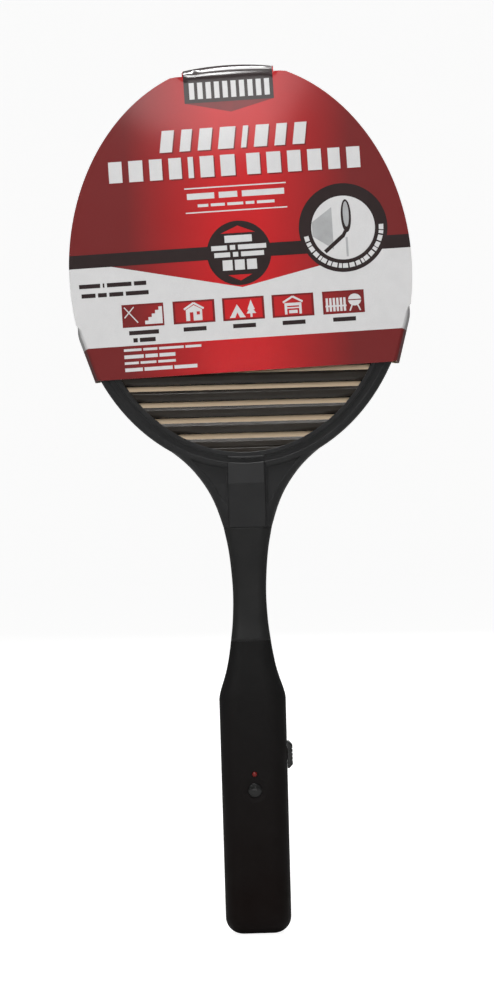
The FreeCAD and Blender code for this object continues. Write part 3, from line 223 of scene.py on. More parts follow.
def board_laminate():
    """Green solder mask with pale tracks showing through."""
    look = Look("board_laminate")
    tracks = look.spread(look.cells(3.0), 1, 0, 0.16, 0.22)
    look.colour(look.blend_colours(tracks, (0.012, 0.10, 0.035), (0.05, 0.20, 0.08)))
    look.rough(look.spread(look.noise(2), 0.28, 0.42))
    look.relief(look.cells(3.0), 0.03)
    return look.material


def small_part(name, dark, light, roughness, grain):
    """A small component: speckled tone with a fine cast grain."""
    look = Look(name)
    look.colour(look.blend_colours(look.noise(grain * 5), dark, light))
    look.rough(look.spread(look.noise(grain * 3), roughness - 0.08, roughness + 0.08))
    look.relief(look.noise(grain, 3), 0.03, 0.12)
    return look.material


def resistor_tan():
    """A tan body with colour rings across it."""
    look = Look("resistor_tan")
    waves = look.calculate("SINE", look.calculate("MULTIPLY", look.along("Z"), 5200.0))
    rings = look.calculate("GREATER_THAN", waves, 0.72)
    body = look.blend_colours(look.noise(1.5), (0.45, 0.32, 0.18), (0.55, 0.40, 0.24))
    look.colour(look.blend_colours(rings, body, (0.22, 0.05, 0.03)))
    look.rough(look.spread(look.noise(1), 0.35, 0.5))
    look.relief(look.noise(0.5), 0.02)
    return look.material


def red_lens():
    """The lamp's red lens, glowing faintly, with a frosted core."""
    look = Look("red_lens")
    tone = look.blend_colours(look.noise(0.8), (0.12, 0.006, 0.005), (0.22, 0.012, 0.009))
    look.colour(tone)
    look.link(tone, look.shader.inputs["Emission Color"])
    look.value(Emission_Strength=0.02, Transmission_Weight=0.1)
    look.rough(look.spread(look.noise(0.6), 0.15, 0.3))
    look.relief(look.noise(0.5), 0.01)
    return look.material


def print_ink(name, dark, light, painted_side_shade=False):
    """Print under glossy film: fine mottle, and for the red field painted shade that darkens it from the
    card's middle towards its sides.
    """
    look = Look(name)
    if painted_side_shade:
        # painted shade: the red is lighter in the card's middle and darker towards its sides
        blotch_and_painted_shade = look.spread(look.calculate("ABSOLUTE", look.along("X")), 0, 1, 0.012, 0.064)
    else:
        blotch_and_painted_shade = look.noise(7, 4)
    tone = look.blend_colours(blotch_and_painted_shade, light, dark)
    mottle = look.spread(look.noise(0.5, 2), 0.94, 1.0)
    scaled = look.tree.nodes.new("ShaderNodeVectorMath")
    scaled.operation = "SCALE"
    look.link(tone, scaled.inputs[0])
    look.link(mottle, scaled.inputs["Scale"])
    look.colour(scaled.outputs[0])
    look.value(Coat_Weight=0.6, Coat_Roughness=0.1, Specular_IOR_Level=0.2)
    look.rough(look.spread(look.noise(20, 3), 0.30, 0.46))
    look.relief(look.noise(16, 2), 0.10)
    return look.material


def kraft():
    """The card's unprinted inner face: grey-brown board with fibres."""
    look = Look("kraft_board")
    fibres = look.noise(1.1, 5, (0.3, 1, 1))
    look.colour(look.blend_colours(fibres, (0.90, 0.68, 0.47), (0.98, 0.78, 0.55)))
    look.rough(look.spread(look.noise(3), 0.75, 0.9))
    look.relief(look.noise(0.8, 4), 0.05)
    return look.material


STEEL_X = (0.04, 1, 1)
STEEL_Z = (1, 1, 0.04)

finishes = {
    "handle_plastic": handle_plastic(),
    "frame_plastic": moulded(
        "frame_plastic", (0.013, 0.013, 0.0135), (0.021, 0.021, 0.0215), 0.36, 0.5, 0.03, 0.5),
    "guard_plastic": glossy("guard_plastic", (0.020, 0.016, 0.013), (0.030, 0.025, 0.020), 0.22),
    "neck_rubber": neck_rubber(),
    "button_gloss": glossy("button_gloss", (0.008, 0.008, 0.008), (0.014, 0.014, 0.014), 0.14),
    "inner_plastic": moulded(
        "inner_plastic", (0.035, 0.035, 0.037), (0.055, 0.055, 0.057), 0.5, 0.4, 0.03, 0.2),
    "screw_steel": metal("screw_steel", (0.38, 0.38, 0.39), (0.60, 0.60, 0.61), 0.36, (1, 1, 1)),
    "spring_steel": metal("spring_steel", (0.36, 0.36, 0.38), (0.55, 0.55, 0.57), 0.32, STEEL_Z),
    "electrode_steel": metal("electrode_steel", (0.45, 0.45, 0.46), (0.66, 0.66, 0.67), 0.28, STEEL_X),
    "nickel_contact": metal("nickel_contact", (0.60, 0.58, 0.52), (0.78, 0.76, 0.70), 0.20, STEEL_X),
    "brass_strip": metal("brass_strip", (0.55, 0.40, 0.17), (0.74, 0.58, 0.28), 0.30, STEEL_Z),
    "cell_jacket": cell_jacket(),
    "board_laminate": board_laminate(),
    "ferrite": small_part("ferrite", (0.03, 0.03, 0.032), (0.06, 0.06, 0.063), 0.6, 0.3),
    "copper_winding": metal("copper_winding", (0.45, 0.17, 0.07), (0.72, 0.33, 0.15), 0.32, (1, 1, 6)),
    "film_capacitor": small_part("film_capacitor", (0.10, 0.03, 0.012), (0.16, 0.05, 0.02), 0.3, 0.5),
    "component_black": small_part(
        "component_black", (0.012, 0.012, 0.012), (0.025, 0.025, 0.026), 0.45, 0.25),
    "resistor_tan": resistor_tan(),
    "red_lens": red_lens(),
    "lead_insulation": small_part("lead_insulation", (0.25, 0.02, 0.015), (0.34, 0.03, 0.02), 0.4, 0.6),
}

inks = {
    # the red field's light middle and dark sides are painted shade
    "red": print_ink("print_red_with_painted_shade", (0.165, 0.020, 0.020), (0.52, 0.016, 0.019), painted_side_shade=True),
    "shade": print_ink("print_shade", (0.13, 0.014, 0.014), (0.22, 0.014, 0.016)),
    "white": print_ink("print_white", (0.60, 0.597, 0.60), (0.67, 0.665, 0.665)),
    "black": print_ink("print_black", (0.022, 0.014, 0.014), (0.030, 0.019, 0.019)),
    "grey": print_ink("print_grey", (0.3, 0.3, 0.3), (0.47, 0.48, 0.49)),
    "kraft": kraft(),
}


def paint_frame():
    """Give every CAD node its slot's finish."""
    for row in frame["record"]["subparts"]:
        if row["material_slot"] == "printed_card":
            continue
        piece = frame["nodes"][row["node"]]
        if not piece.material_slots:
            piece.data.materials.append(None)
        for socket in piece.material_slots:
            socket.link = "OBJECT"
            socket.material = finishes[row["material_slot"]]


# ---------------------------------------------------------------- mesh helpers


def new_piece(name, points, faces, materials, face_materials=None, smooth=True):
    """A mesh object from points in millimetres."""
    mesh = bpy.data.meshes.new(name)
    mesh.from_pydata([tuple(value * MM for value in point) for point in points], [], faces)
    for material in materials:
        mesh.materials.append(material)
    if face_materials:
        mesh.polygons.foreach_set("material_index", face_materials)
    mesh.polygons.foreach_set("use_smooth", [smooth] * len(mesh.polygons))
    mesh.update()
    piece = bpy.data.objects.new(name, mesh)
    bpy.context.scene.collection.objects.link(piece)
    return piece


def rounded_ring(half_wide, half_deep, corner, height, steps=12):
    """Points round a level rounded rectangle, counter-clockwise from +X."""
    ring = []
    for quarter, (side, front) in enumerate(((1, 1), (-1, 1), (-1, -1), (1, -1))):
        centre_x = side * (half_wide - corner)
        centre_y = front * (half_deep - corner)
        for step in range(steps + 1):
            angle = (quarter + step / steps) * math.pi / 2
            ring.append((centre_x + corner * math.cos(angle), centre_y + corner * math.sin(angle), height))
    return ring


def stacked(rings, closed_loop):
    """Points and faces of rings joined in order: into a loop of rings, or with two end caps."""
    count = len(rings[0])
    points = [point for ring in rings for point in ring]
    faces = []
    pairs = len(rings) if closed_loop else len(rings) - 1
    for level in range(pairs):
        low = level * count
        high = ((level + 1) % len(rings)) * count
        for index in range(count):
            following = (index + 1) % count
            faces.append((low + index, low + following, high + following, high + index))
    if not closed_loop:
        faces.append(tuple(reversed(range(count))))
        faces.append(tuple(range(len(points) - count, len(points))))
    return points, faces


def smooth_between(table, height):
    """The table's row at a height, on a smooth curve through its rows."""
    last = len(table) - 1
    index = max(i for i in range(last) if table[i][0] <= height or i == 0)
    low, high = table[index], table[index + 1]
    share = (height - low[0]) / (high[0] - low[0])
    row = []
    for column in range(1, len(low)):
        def slope(i):
            before, after = table[max(i - 1, 0)], table[min(i + 1, last)]
            return (after[column] - before[column]) / (after[0] - before[0])
        span = high[0] - low[0]
        t2, t3 = share * share, share ** 3
        value = (2 * t3 - 3 * t2 + 1) * low[column] + (3 * t2 - 2 * t3) * high[column]
        value += (t3 - 2 * t2 + share) * span * slope(index) + (t3 - t2) * span * slope(index + 1)
        row.append(value)
    return row


# ---------------------------------------------------------------- neck


# Sleeve sections: height, half width, half depth, corner radius.
NECK = [
    (167.0, 11.4, 11.0, 6.0),
    (177.0, 10.2, 9.5, 5.6),
    (192.0, 9.5, 8.6, 5.4),
    (205.0, 10.0, 8.8, 5.6),
    (219.0, 11.4, 10.0, 6.0),
    (231.7, 13.8, 11.3, 6.4),
]
# Half width, half depth and corner radius of the tails that sit in handle and head, and of the bore.
HANDLE_TAIL = (8.6, 8.2, 3.6)
HEAD_TAIL = (11.0, 8.3, 4.0)
BORE = (6.75, 0.85, 0.4)
BLADE = (4.0, 0.35, 0.12)
BLADE_ENDS = (151.0, 249.0)
LEAD_ENDS = (137.0, 249.0)
LEAD_SIDE = 5.9
LEAD_RADIUS = 0.7
NECK_TAIL = 4.0
NECK_STEP = 1.3
TAIL_STEP = 0.05


def bends(piece, *nodes):
    """Put a piece of the neck in place of CAD nodes: bake its transform and hide the nodes."""
    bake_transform(piece)
    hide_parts(*nodes)
    return piece


def levels(low, high, step):
    """Heights from low to high, about a step apart."""
    count = max(1, round((high - low) / step))
    return [low + (high - low) * index / count for index in range(count + 1)]


def neck_sleeve():
    """The rubber sleeve: a tail in the handle, the slim neck, a tail in the head, and the bore inside."""
    low, high = NECK[0][0], NECK[-1][0]
    rings = []
    for height in levels(low - NECK_TAIL, low + TAIL_STEP, NECK_STEP):
        rings.append(rounded_ring(*HANDLE_TAIL, height))
    for height in levels(low + TAIL_STEP, high - TAIL_STEP, NECK_STEP):
        rings.append(rounded_ring(*smooth_between(NECK, height), height))
    for height in levels(high - TAIL_STEP, high + NECK_TAIL, NECK_STEP):
        rings.append(rounded_ring(*HEAD_TAIL, height))
    for height in reversed(levels(low - NECK_TAIL, high + NECK_TAIL, NECK_STEP)):
        rings.append(rounded_ring(*BORE, height))
    points, faces = stacked(rings, closed_loop=True)
    piece = new_piece("neck_sleeve_soft", points, faces, [finishes["neck_rubber"]])
    return bends(piece, "neck_sleeve")


def neck_blade():
    """The flat spring steel blade that carries the head."""
    rings = [rounded_ring(*BLADE, height, 2) for height in levels(*BLADE_ENDS, NECK_STEP)]
    points, faces = stacked(rings, closed_loop=False)
    piece = new_piece("neck_blade_spring", points, faces, [finishes["spring_steel"]], smooth=False)
    return bends(piece, "neck_blade")


def neck_leads():
    """The two leads, one on each side of the blade."""
    points, faces = [], []
    for side in (-LEAD_SIDE, LEAD_SIDE):
        rings = []
        for height in levels(*LEAD_ENDS, NECK_STEP):
            ring = rounded_ring(LEAD_RADIUS, LEAD_RADIUS, LEAD_RADIUS, height, 4)
            rings.append([(x + side, y, z) for x, y, z in ring])
        more_points, more_faces = stacked(rings, closed_loop=False)
        offset = len(points)
        points += more_points
        faces += [tuple(index + offset for index in face) for face in more_faces]
    piece = new_piece("neck_lead_pair", points, faces, [finishes["lead_insulation"]])
    return bends(piece, "neck_leads")


# ---------------------------------------------------------------- push button's spring


# The coil's ends along the button's axis, and its turns.
BUTTON_HEIGHT = 82.4
COIL_BACK = -5.95
COIL_FRONT = -10.7
COIL_RADIUS = 2.3
COIL_WIRE = 0.25
COIL_TURNS = 4
COIL_STEPS = 28
WIRE_SIDES = 10


def button_spring():
    """The return spring: a coil of wire along the button's axis, in place of the CAD node."""
    rings = []
    steps = COIL_TURNS * COIL_STEPS
    for step in range(steps + 1):
        share = step / steps
        angle = 2 * math.pi * COIL_TURNS * share
        outward = Vector((math.cos(angle), 0, math.sin(angle)))
        depth = COIL_BACK + (COIL_FRONT - COIL_BACK) * share
        middle = Vector((0, depth, BUTTON_HEIGHT)) + outward * COIL_RADIUS
        ring = []
        for side in range(WIRE_SIDES):
            turn = 2 * math.pi * side / WIRE_SIDES
            ring.append(middle + (outward * math.cos(turn) + Vector((0, math.sin(turn), 0))) * COIL_WIRE)
        rings.append(ring)
    points, faces = stacked(rings, closed_loop=False)
    piece = new_piece("button_spring_soft", points, faces, [finishes["spring_steel"]])
    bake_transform(piece)
    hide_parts("button_spring")


# ---------------------------------------------------------------- retail card


HEAD_CENTRE = 377.0
CARD_TURN = math.radians(-2.2)
CARD_HALF_WIDE = 97.3
CARD_HALF_TALL = 118.6
CARD_DEPTH = 11.9
BOARD = 0.5
BRIDGE_HALF = 26.0
PANEL_TOP = 112.0
FOLD_RADIUS = 6.0
FOLD_ARC = FOLD_RADIUS * math.pi / 2
FLAT_TOP = 2 * (CARD_DEPTH - FOLD_RADIUS)
SHEET_MIDDLE = PANEL_TOP + FOLD_ARC + FLAT_TOP / 2
SIDE_TOP = (95.1, -25.0)
SIDE_LOW = (85.4, -57.0)
SIDE_FOLD = 2.5
SIDE_BULGE = 1.7
SIDE_TUCK = 0.25
SIDE_ROWS = 32
FIELD_LOW = -38.4
BACK_CORNERS = [(58.0, -88.0), (33.0, -106.0)]
CARD_BOW = 1.8
CROWN_SINK = 0.6
GRID = 3.2
# Keeps the grid's points off the printed shapes' edges.
GRID_OFFSET = (0.37, 0.41)
EDGE_STEP = 6.0
MERGE = 0.02


def far_side(v):
    """Where a height on the back panel lies along the unfolded sheet."""
    return 2 * SHEET_MIDDLE - v


def front_edge():
    """Right half of the front panel's outline, from its lower edge to the fold over the head."""
    inset = SIDE_FOLD * 0.9
    points = [(SIDE_LOW[0] - inset, SIDE_LOW[1]), (SIDE_TOP[0] - inset, SIDE_TOP[1] - inset)]
    start = math.asin(SIDE_TOP[1] / CARD_HALF_TALL)
    end = math.acos(BRIDGE_HALF / CARD_HALF_WIDE)
    for step in range(41):
        angle = start + (end - start) * step / 40
        height = min(PANEL_TOP, CARD_HALF_TALL * math.sin(angle))
        points.append((CARD_HALF_WIDE * math.cos(angle), height))
    return points


def sheet_outline():
    """The whole unfolded card: front panel, bridge over the head, back panel."""
    front = front_edge()
    back = [(u, far_side(v)) for u, v in reversed(front)]
    right = front + back + [(u, far_side(v)) for u, v in BACK_CORNERS]
    left = [(-u, v) for u, v in reversed(right)]
    return right + left


def crown_drop(u, s):
    """How far the fold over the head sinks towards its sides, to follow the card's oval."""
    rise = min(1.0, max(0.0, (s - PANEL_TOP) / FOLD_ARC))
    across = min(1.0, abs(u) / CARD_HALF_WIDE)
    return rise * CROWN_SINK * CARD_HALF_TALL * (1 - math.sqrt(1 - across ** 2))


def on_sheet(u, s, inward=0.0):
    """The folded place of a point on the unfolded card, moved inwards from its outer face."""
    back = s > SHEET_MIDDLE
    if back:
        s = 2 * SHEET_MIDDLE - s
    drop = crown_drop(u, s)
    if s <= PANEL_TOP:
        across = max(0.0, 1 - (u / CARD_HALF_WIDE) ** 2) ** 2
        upward = 1 - (max(s, 0) / PANEL_TOP) ** 2
        depth, height = CARD_DEPTH + CARD_BOW * across * upward - inward, s
    elif s <= PANEL_TOP + FOLD_ARC:
        angle = (s - PANEL_TOP) / FOLD_RADIUS
        reach = FOLD_RADIUS - inward
        depth = CARD_DEPTH - FOLD_RADIUS + reach * math.cos(angle)
        height = PANEL_TOP + reach * math.sin(angle)
    else:
        depth = CARD_DEPTH - FOLD_RADIUS - (s - PANEL_TOP - FOLD_ARC)
        height = PANEL_TOP + FOLD_RADIUS - inward
    return turned(u, depth if back else -depth, height - drop)


def turned(u, y, v):
    """A point of the card in the row frame: the card sits slightly askew on the head."""
    cos, sin = math.cos(CARD_TURN), math.sin(CARD_TURN)
    return (u * cos + v * sin, y, HEAD_CENTRE - u * sin + v * cos)


class Print:
    """Flat shapes printed on the card, later ones over earlier ones."""

    def __init__(self, to_sheet):
        self.shapes = []
        self.to_sheet = to_sheet

    def polygon(self, ink, corners):
        """A flat shape; its corners are kept counter-clockwise."""
        corners = [self.to_sheet(u, v) for u, v in corners]
        twice_area = 0.0
        for (u1, v1), (u2, v2) in zip(corners, corners[1:] + corners[:1]):
            twice_area += u1 * v2 - u2 * v1
        self.shapes.append((ink, corners if twice_area > 0 else corners[::-1]))

    def block(self, ink, u, v, half_wide, half_tall, lean=0.0):
        """A rectangle, leaning to the right by lean times its height."""
        corners = []
        for side, up in ((-1, -1), (1, -1), (1, 1), (-1, 1)):
            corners.append((u + side * half_wide + up * half_tall * lean, v + up * half_tall))
        self.polygon(ink, corners)

    def disc(self, ink, u, v, half_wide, half_tall=None, count=48):
        half_tall = half_tall or half_wide
        corners = []
        for step in range(count):
            angle = 2 * math.pi * step / count
            corners.append((u + half_wide * math.cos(angle), v + half_tall * math.sin(angle)))
        self.polygon(ink, corners)

    def line(self, ink, start, end, half_thick):
        along = (Vector(end) - Vector(start)).normalized() * half_thick
        across = Vector((-along.y, along.x))
        corners = [Vector(start) - across, Vector(end) - across, Vector(end) + across, Vector(start) + across]
        self.polygon(ink, [tuple(corner) for corner in corners])

    def words(self, ink, left, v, widths, gap, half_tall, lean=0.0):
        """Plain blocks in a row, standing for words or letters without being any."""
        for width in widths:
            self.block(ink, left + width / 2, v, width / 2, half_tall, lean)
            left += width + gap

    def centred_words(self, ink, u, v, widths, gap, half_tall, lean=0.0):
        whole = sum(widths) + gap * (len(widths) - 1)
        self.words(ink, u - whole / 2, v, widths, gap, half_tall, lean)

    def ring_words(self, ink, u, v, radius, start, end, widths, half_tall):
        """Plain blocks along an arc, from one angle to another in degrees."""
        whole = sum(widths)
        turn = start
        for width in widths:
            share = (end - start) * width / whole
            first, last = math.radians(turn), math.radians(turn + share * 0.78)
            corners = []
            for angle, reach in ((first, -1), (last, -1), (last, 1), (first, 1)):
                distance = radius + reach * half_tall
                corners.append((u + distance * math.cos(angle), v + distance * math.sin(angle)))
            self.polygon(ink, corners)
            turn += share


def print_titles(sheet):
    """The badge over the fold and the two title rows, as plain blocks."""
    sheet.polygon("shade", [(-25.4, 96.6), (25.4, 96.6), (0.6, 90.4)])
    sheet.polygon("black", [(-25.4, 96.5), (25.4, 96.5), (25.4, far_side(112)), (-25.4, far_side(112))])
    sheet.centred_words("white", 0.4, 103.4, [2.9] * 10, 1.85, 4.7)
    upper = [7.0, 6.0, 7.2, 8.8, 3.0, 7.4, 6.0, 6.8]
    lower_first = [7.6, 8.0, 7.2, 7.2, 3.0, 7.8, 8.2]
    lower_second = [7.6, 8.0, 7.6, 7.8, 6.8, 7.6]
    for ink, right, down in (("shade", 0.7, -0.8), ("white", 0.0, 0.0)):
        sheet.words(ink, -40.4 + right, 75.8 + down, upper, 4.3, 6.2, 0.16)
        sheet.words(ink, -71.0 + right, 60.2 + down, lower_first, 3.8, 6.0)
        sheet.words(ink, 7.4 + right, 60.2 + down, lower_second, 3.8, 6.0)
    for height in (48.2, 34.4):
        sheet.block("white", 0, height, 28.8, 0.35)
    sheet.centred_words("white", 0, 43.6, [15.5, 10.5, 24.0], 2.6, 1.7)
    sheet.centred_words("white", 0, 38.2, [6, 8, 9, 5, 10], 1.4, 0.8)


def print_band(sheet):
    """The black band across the card, the white field below it and the centre disc."""
    white = [(-110, 7.1), (-73, 7.1), (0.5, -9.4), (79, 7.1), (110, 7.1), (110, FIELD_LOW), (-110, FIELD_LOW)]
    sheet.polygon("white", white)
    sheet.block("black", 0, 10.9, 110, 3.8)
    sheet.disc("black", -0.2, 10.1, 18.3)
    sheet.polygon("red", [(-10, 21.5), (9.6, 21.5), (-0.2, 25.6)])
    sheet.polygon("red", [(-7, -2.2), (6.6, -2.2), (-0.2, -5.6)])
    sheet.centred_words("white", -0.2, 18.2, [15.5], 1, 2.0)
    sheet.centred_words("white", -0.2, 13.4, [9, 3, 16], 1.6, 1.35)
    sheet.centred_words("white", -0.2, 9.4, [9, 3, 13], 1.6, 1.35)
    sheet.centred_words("white", -0.2, 3.4, [5.6, 5.6, 5.6], 1.3, 2.9)


def print_ring(sheet):
    """The round picture at the right: a racket leaning by a wall, its neck bent."""
    u, v = 59.6, 20.6
    sheet.disc("black", u, v, 25.2, count=72)
    sheet.disc("white", u, v, 18.1, count=56)
    sheet.polygon("grey", [(u - 17.6, v - 4), (u - 6, v - 12), (u - 6, v + 12), (u - 17.6, v + 4)])
    sheet.disc("black", u + 2.0, v + 6.6, 2.9, 9.4, 28)
    sheet.disc("grey", u + 2.0, v + 7.6, 1.7, 7.2, 24)
    sheet.line("black", (u + 1.2, v - 2), (u - 0.6, v - 5.2), 1.0)
    sheet.line("black", (u - 0.4, v - 4.6), (u - 11.0, v - 13.2), 1.1)
    sheet.line("grey", (u + 1.6, v - 5.5), (u + 1.6, v - 16.5), 0.6)
    blocks = [1.0, 0.7, 1.0, 1.0, 0.5, 1.0, 0.7, 1.0, 0.6, 1.0]
    blocks += [1.0, 0.9, 0.5, 1.0, 1.0, 0.6, 1.0, 1.1, 0.6, 1.0]
    sheet.ring_words("white", u, v, 21.6, 190, 364, blocks, 1.3)


def print_fields(sheet):
    """Short notes in the white field and in the strip at the lower edge, as plain blocks."""
    sheet.words("black", -92, -3.2, [12, 1, 14, 7], 1.4, 1.2)
    sheet.words("black", -91, -8.6, [8, 5, 8, 13], 1.4, 1.2)
    sheet.words("white", -69, -40.8, [10, 8, 14, 9], 1.0, 0.7)
    sheet.words("white", -69, -44.6, [11, 7, 9], 1.0, 1.0)
    sheet.words("white", -69, -48.2, [8, 9, 10], 1.0, 0.7)
    sheet.words("white", -69, -52.0, [10, 16, 13], 1.0, 1.0)


ICON_HEIGHT = -21.5


def print_icons(sheet):
    """Five red tiles with plain pictograms of where the swatter is used, and their captions."""
    centres = (-56.9, -27.9, 0.2, 28.3, 57.0)
    for u in centres:
        sheet.block("shade", u, ICON_HEIGHT, 11.85, 6.5)
        sheet.block("red", u, ICON_HEIGHT, 10.6, 5.5)
    draw = (stairs, house, tent_and_tree, garage, fence_and_grill)
    for u, picture in zip(centres, draw):
        picture(sheet, u, ICON_HEIGHT)
        sheet.centred_words("black", u, -31.2, [17 if u < -50 else 13], 1, 1.2)
    sheet.centred_words("black", centres[0], -35.4, [2.5, 9], 1.2, 1.2)


def stairs(sheet, u, v):
    for step in range(5):
        left = u + 1.0 + step * 2.0
        right = u + 11
        low = v - 5.2
        high = v - 3.2 + step * 1.9
        sheet.polygon("white", [(left, low), (right, low), (right, high), (left, high)])
    sheet.line("white", (u - 10.5, v + 5), (u - 3, v - 4), 0.3)
    sheet.line("white", (u - 10.5, v - 1), (u - 5, v + 5), 0.3)


def roof(sheet, u, v, eaves):
    """Two sloping strokes that meet above u."""
    peak = (u, v + 5.0)
    sheet.line("white", (u - 5.6, v + eaves), peak, 0.55)
    sheet.line("white", peak, (u + 5.6, v + eaves), 0.55)


def house(sheet, u, v):
    roof(sheet, u, v, 1.6)
    wall = [(u - 4.6, v - 5), (u + 4.6, v - 5), (u + 4.6, v + 1.2), (u, v + 3.8), (u - 4.6, v + 1.2)]
    sheet.polygon("white", wall)
    sheet.block("red", u - 1.4, v - 2.6, 1.0, 2.4)
    sheet.block("red", u + 2.4, v - 0.8, 0.9, 0.9)


def tent_and_tree(sheet, u, v):
    peak = (u - 3.6, v + 2.6)
    door = [(u - 5.0, v - 5), (u - 3.6, v - 2), (u - 2.2, v - 5)]
    sheet.polygon("white", [(u - 8, v - 5), *door, (u + 1, v - 5), peak])
    sheet.polygon("white", [(u + 1.6, v - 3), (u + 7, v - 3), (u + 4.3, v + 1.2)])
    sheet.polygon("white", [(u + 2.2, v - 0.8), (u + 6.4, v - 0.8), (u + 4.3, v + 4.8)])
    sheet.block("white", u + 4.3, v - 4, 0.6, 1.1)


def garage(sheet, u, v):
    roof(sheet, u, v, 1.8)
    sheet.block("white", u, v - 1.8, 4.8, 3.2)
    sheet.block("red", u, v - 2.6, 3.4, 2.4)
    sheet.block("white", u, v - 1.4, 3.4, 0.35)
    sheet.block("white", u, v - 3.6, 2.4, 0.9)


def fence_and_grill(sheet, u, v):
    for post in range(6):
        sheet.block("white", u - 9.4 + post * 2.0, v - 1.2, 0.65, 3.8)
    sheet.block("white", u - 4.4, v - 2.0, 6.0, 0.45)
    sheet.disc("white", u + 6.4, v + 1.0, 3.7, 3.4, 24)
    sheet.block("red", u + 6.4, v + 1.0, 4.0, 0.3)
    sheet.line("white", (u + 4.8, v - 2), (u + 3.4, v - 5.2), 0.4)
    sheet.line("white", (u + 8.0, v - 2), (u + 9.4, v - 5.2), 0.4)


def print_back(sheet):
    """The back panel: a plain white field with rows of plain blocks."""
    sheet.block("black", 0, 78, 110, 4)
    sheet.block("white", 0, 22, 66, 42)
    sheet.centred_words("white", 0, 92, [30, 22], 4, 3.2)
    for row in range(11):
        widths = [12 + (row * 7 + column * 5) % 9 for column in range(6)]
        sheet.words("black", -58, 56 - row * 5.6, widths, 2.2, 0.9)
    sheet.centred_words("white", 0, -36, [26, 20, 24], 3, 1.5)
    sheet.centred_words("white", 0, -46, [18, 16], 3, 1.2)


def card_print():
    """Every printed shape of both panels, in printing order."""
    front = Print(lambda u, v: (u, v))
    print_titles(front)
    print_band(front)
    print_ring(front)
    print_icons(front)
    print_fields(front)
    back = Print(lambda u, v: (-u, far_side(v)))
    print_back(back)
    return front.shapes + back.shapes


def split_edges(corners):
    """The same outline with more corners along its long edges, so that it can follow the bow."""
    fine = []
    for start, end in zip(corners, corners[1:] + corners[:1]):
        count = math.ceil(math.dist(start, end) / EDGE_STEP)
        for step in range(count):
            fine.append(tuple(Vector(start).lerp(Vector(end), step / count)))
    return fine


def meshed_sheet(outline, shapes):
    """Triangles of the outline that follow every printed shape, each with its topmost ink."""
    points = split_edges(outline)
    faces = [list(range(len(points)))]
    for _, corners in shapes:
        corners = split_edges(corners)
        faces.append(list(range(len(points), len(points) + len(corners))))
        points += corners
    low = SIDE_LOW[1]
    tall = int((far_side(BACK_CORNERS[-1][1]) - low) / GRID) + 1
    wide = int(CARD_HALF_WIDE / GRID) + 1
    for row in range(tall + 1):
        for column in range(-wide, wide + 1):
            points.append((column * GRID + GRID_OFFSET[0], row * GRID + low + GRID_OFFSET[1]))
    vectors = [Vector(point) for point in points]
    found = delaunay_2d_cdt(vectors, [], faces, 1, MERGE, True)
    places, triangles, sources = found[0], found[2], found[5]
    kept, ink_names = [], []
    for triangle, source in zip(triangles, sources):
        if 0 in source:
            kept.append(tuple(triangle))
            ink_names.append("red" if max(source) == 0 else shapes[max(source) - 1][0])
    return [tuple(place) for place in places], kept, ink_names


def board_solid(name, outer, inner, faces, ink_names, edge_ink="white"):
    """A closed sheet of board: printed outer face, kraft inner face, pale cut edges."""
    used = sorted(set(index for face in faces for index in face))
    renumber = {index: number for number, index in enumerate(used)}
    faces = [tuple(renumber[index] for index in face) for face in faces]
    points = [outer[index] for index in used] + [inner[index] for index in used]
    count = len(used)
    edge_faces = {}
    for face in faces:
        for first, second in zip(face, face[1:] + face[:1]):
            edge_faces[(first, second)] = edge_faces.get((first, second), 0) + 1
    order = list(inks)
    numbers = [order.index(ink) for ink in ink_names]
    whole = list(faces)
    whole += [tuple(index + count for index in reversed(face)) for face in faces]
    numbers += [order.index("kraft")] * len(faces)
    for first, second in edge_faces:
        if (second, first) not in edge_faces:
            whole.append((second, first, first + count, second + count))
            numbers.append(order.index(edge_ink))
    return new_piece(name, points, whole, list(inks.values()), numbers, smooth=False)


def facing_out(outer, inner, faces):
    """The faces, turned so that their normals point from the inner face to the outer one."""
    turned_faces = []
    for face in faces:
        a, b, c = (Vector(outer[index]) for index in face[:3])
        away = Vector(outer[face[0]]) - Vector(inner[face[0]])
        turned_faces.append(face if (b - a).cross(c - a).dot(away) > 0 else tuple(reversed(face)))
    return turned_faces


def soften(piece, degrees):
    """Smooth shading except across edges sharper than an angle."""
    piece.data.polygons.foreach_set("use_smooth", [True] * len(piece.data.polygons))
    piece.data.set_sharp_from_angle(angle=math.radians(degrees))


def retail_card():
    """The printed board: front and back panels in one with the fold over the head."""
    places, faces, ink_names = meshed_sheet(sheet_outline(), card_print())
    outer = [on_sheet(u, s) for u, s in places]
    inner = [on_sheet(u, s, BOARD) for u, s in places]
    card = board_solid("retail_card", outer, inner, facing_out(outer, inner, faces), ink_names)
    soften(card, 35)
    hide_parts("package_sleeve")
    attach(card, "package_sleeve")


def fold_path():
    """The side fold's path from the front panel to the back one: distance out, depth."""
    path = []
    straight = CARD_DEPTH - SIDE_FOLD
    for step in range(9):
        angle = math.pi / 2 * step / 8
        path.append((-SIDE_FOLD + SIDE_FOLD * math.sin(angle), -straight - SIDE_FOLD * math.cos(angle)))
    for step in range(1, 12):
        depth = -straight + 2 * straight * step / 12
        path.append((SIDE_BULGE * math.sin(math.pi * step / 12), depth))
    for step in range(9):
        angle = math.pi / 2 * step / 8
        path.append((-SIDE_FOLD + SIDE_FOLD * math.cos(angle), straight + SIDE_FOLD * math.sin(angle)))
    return path


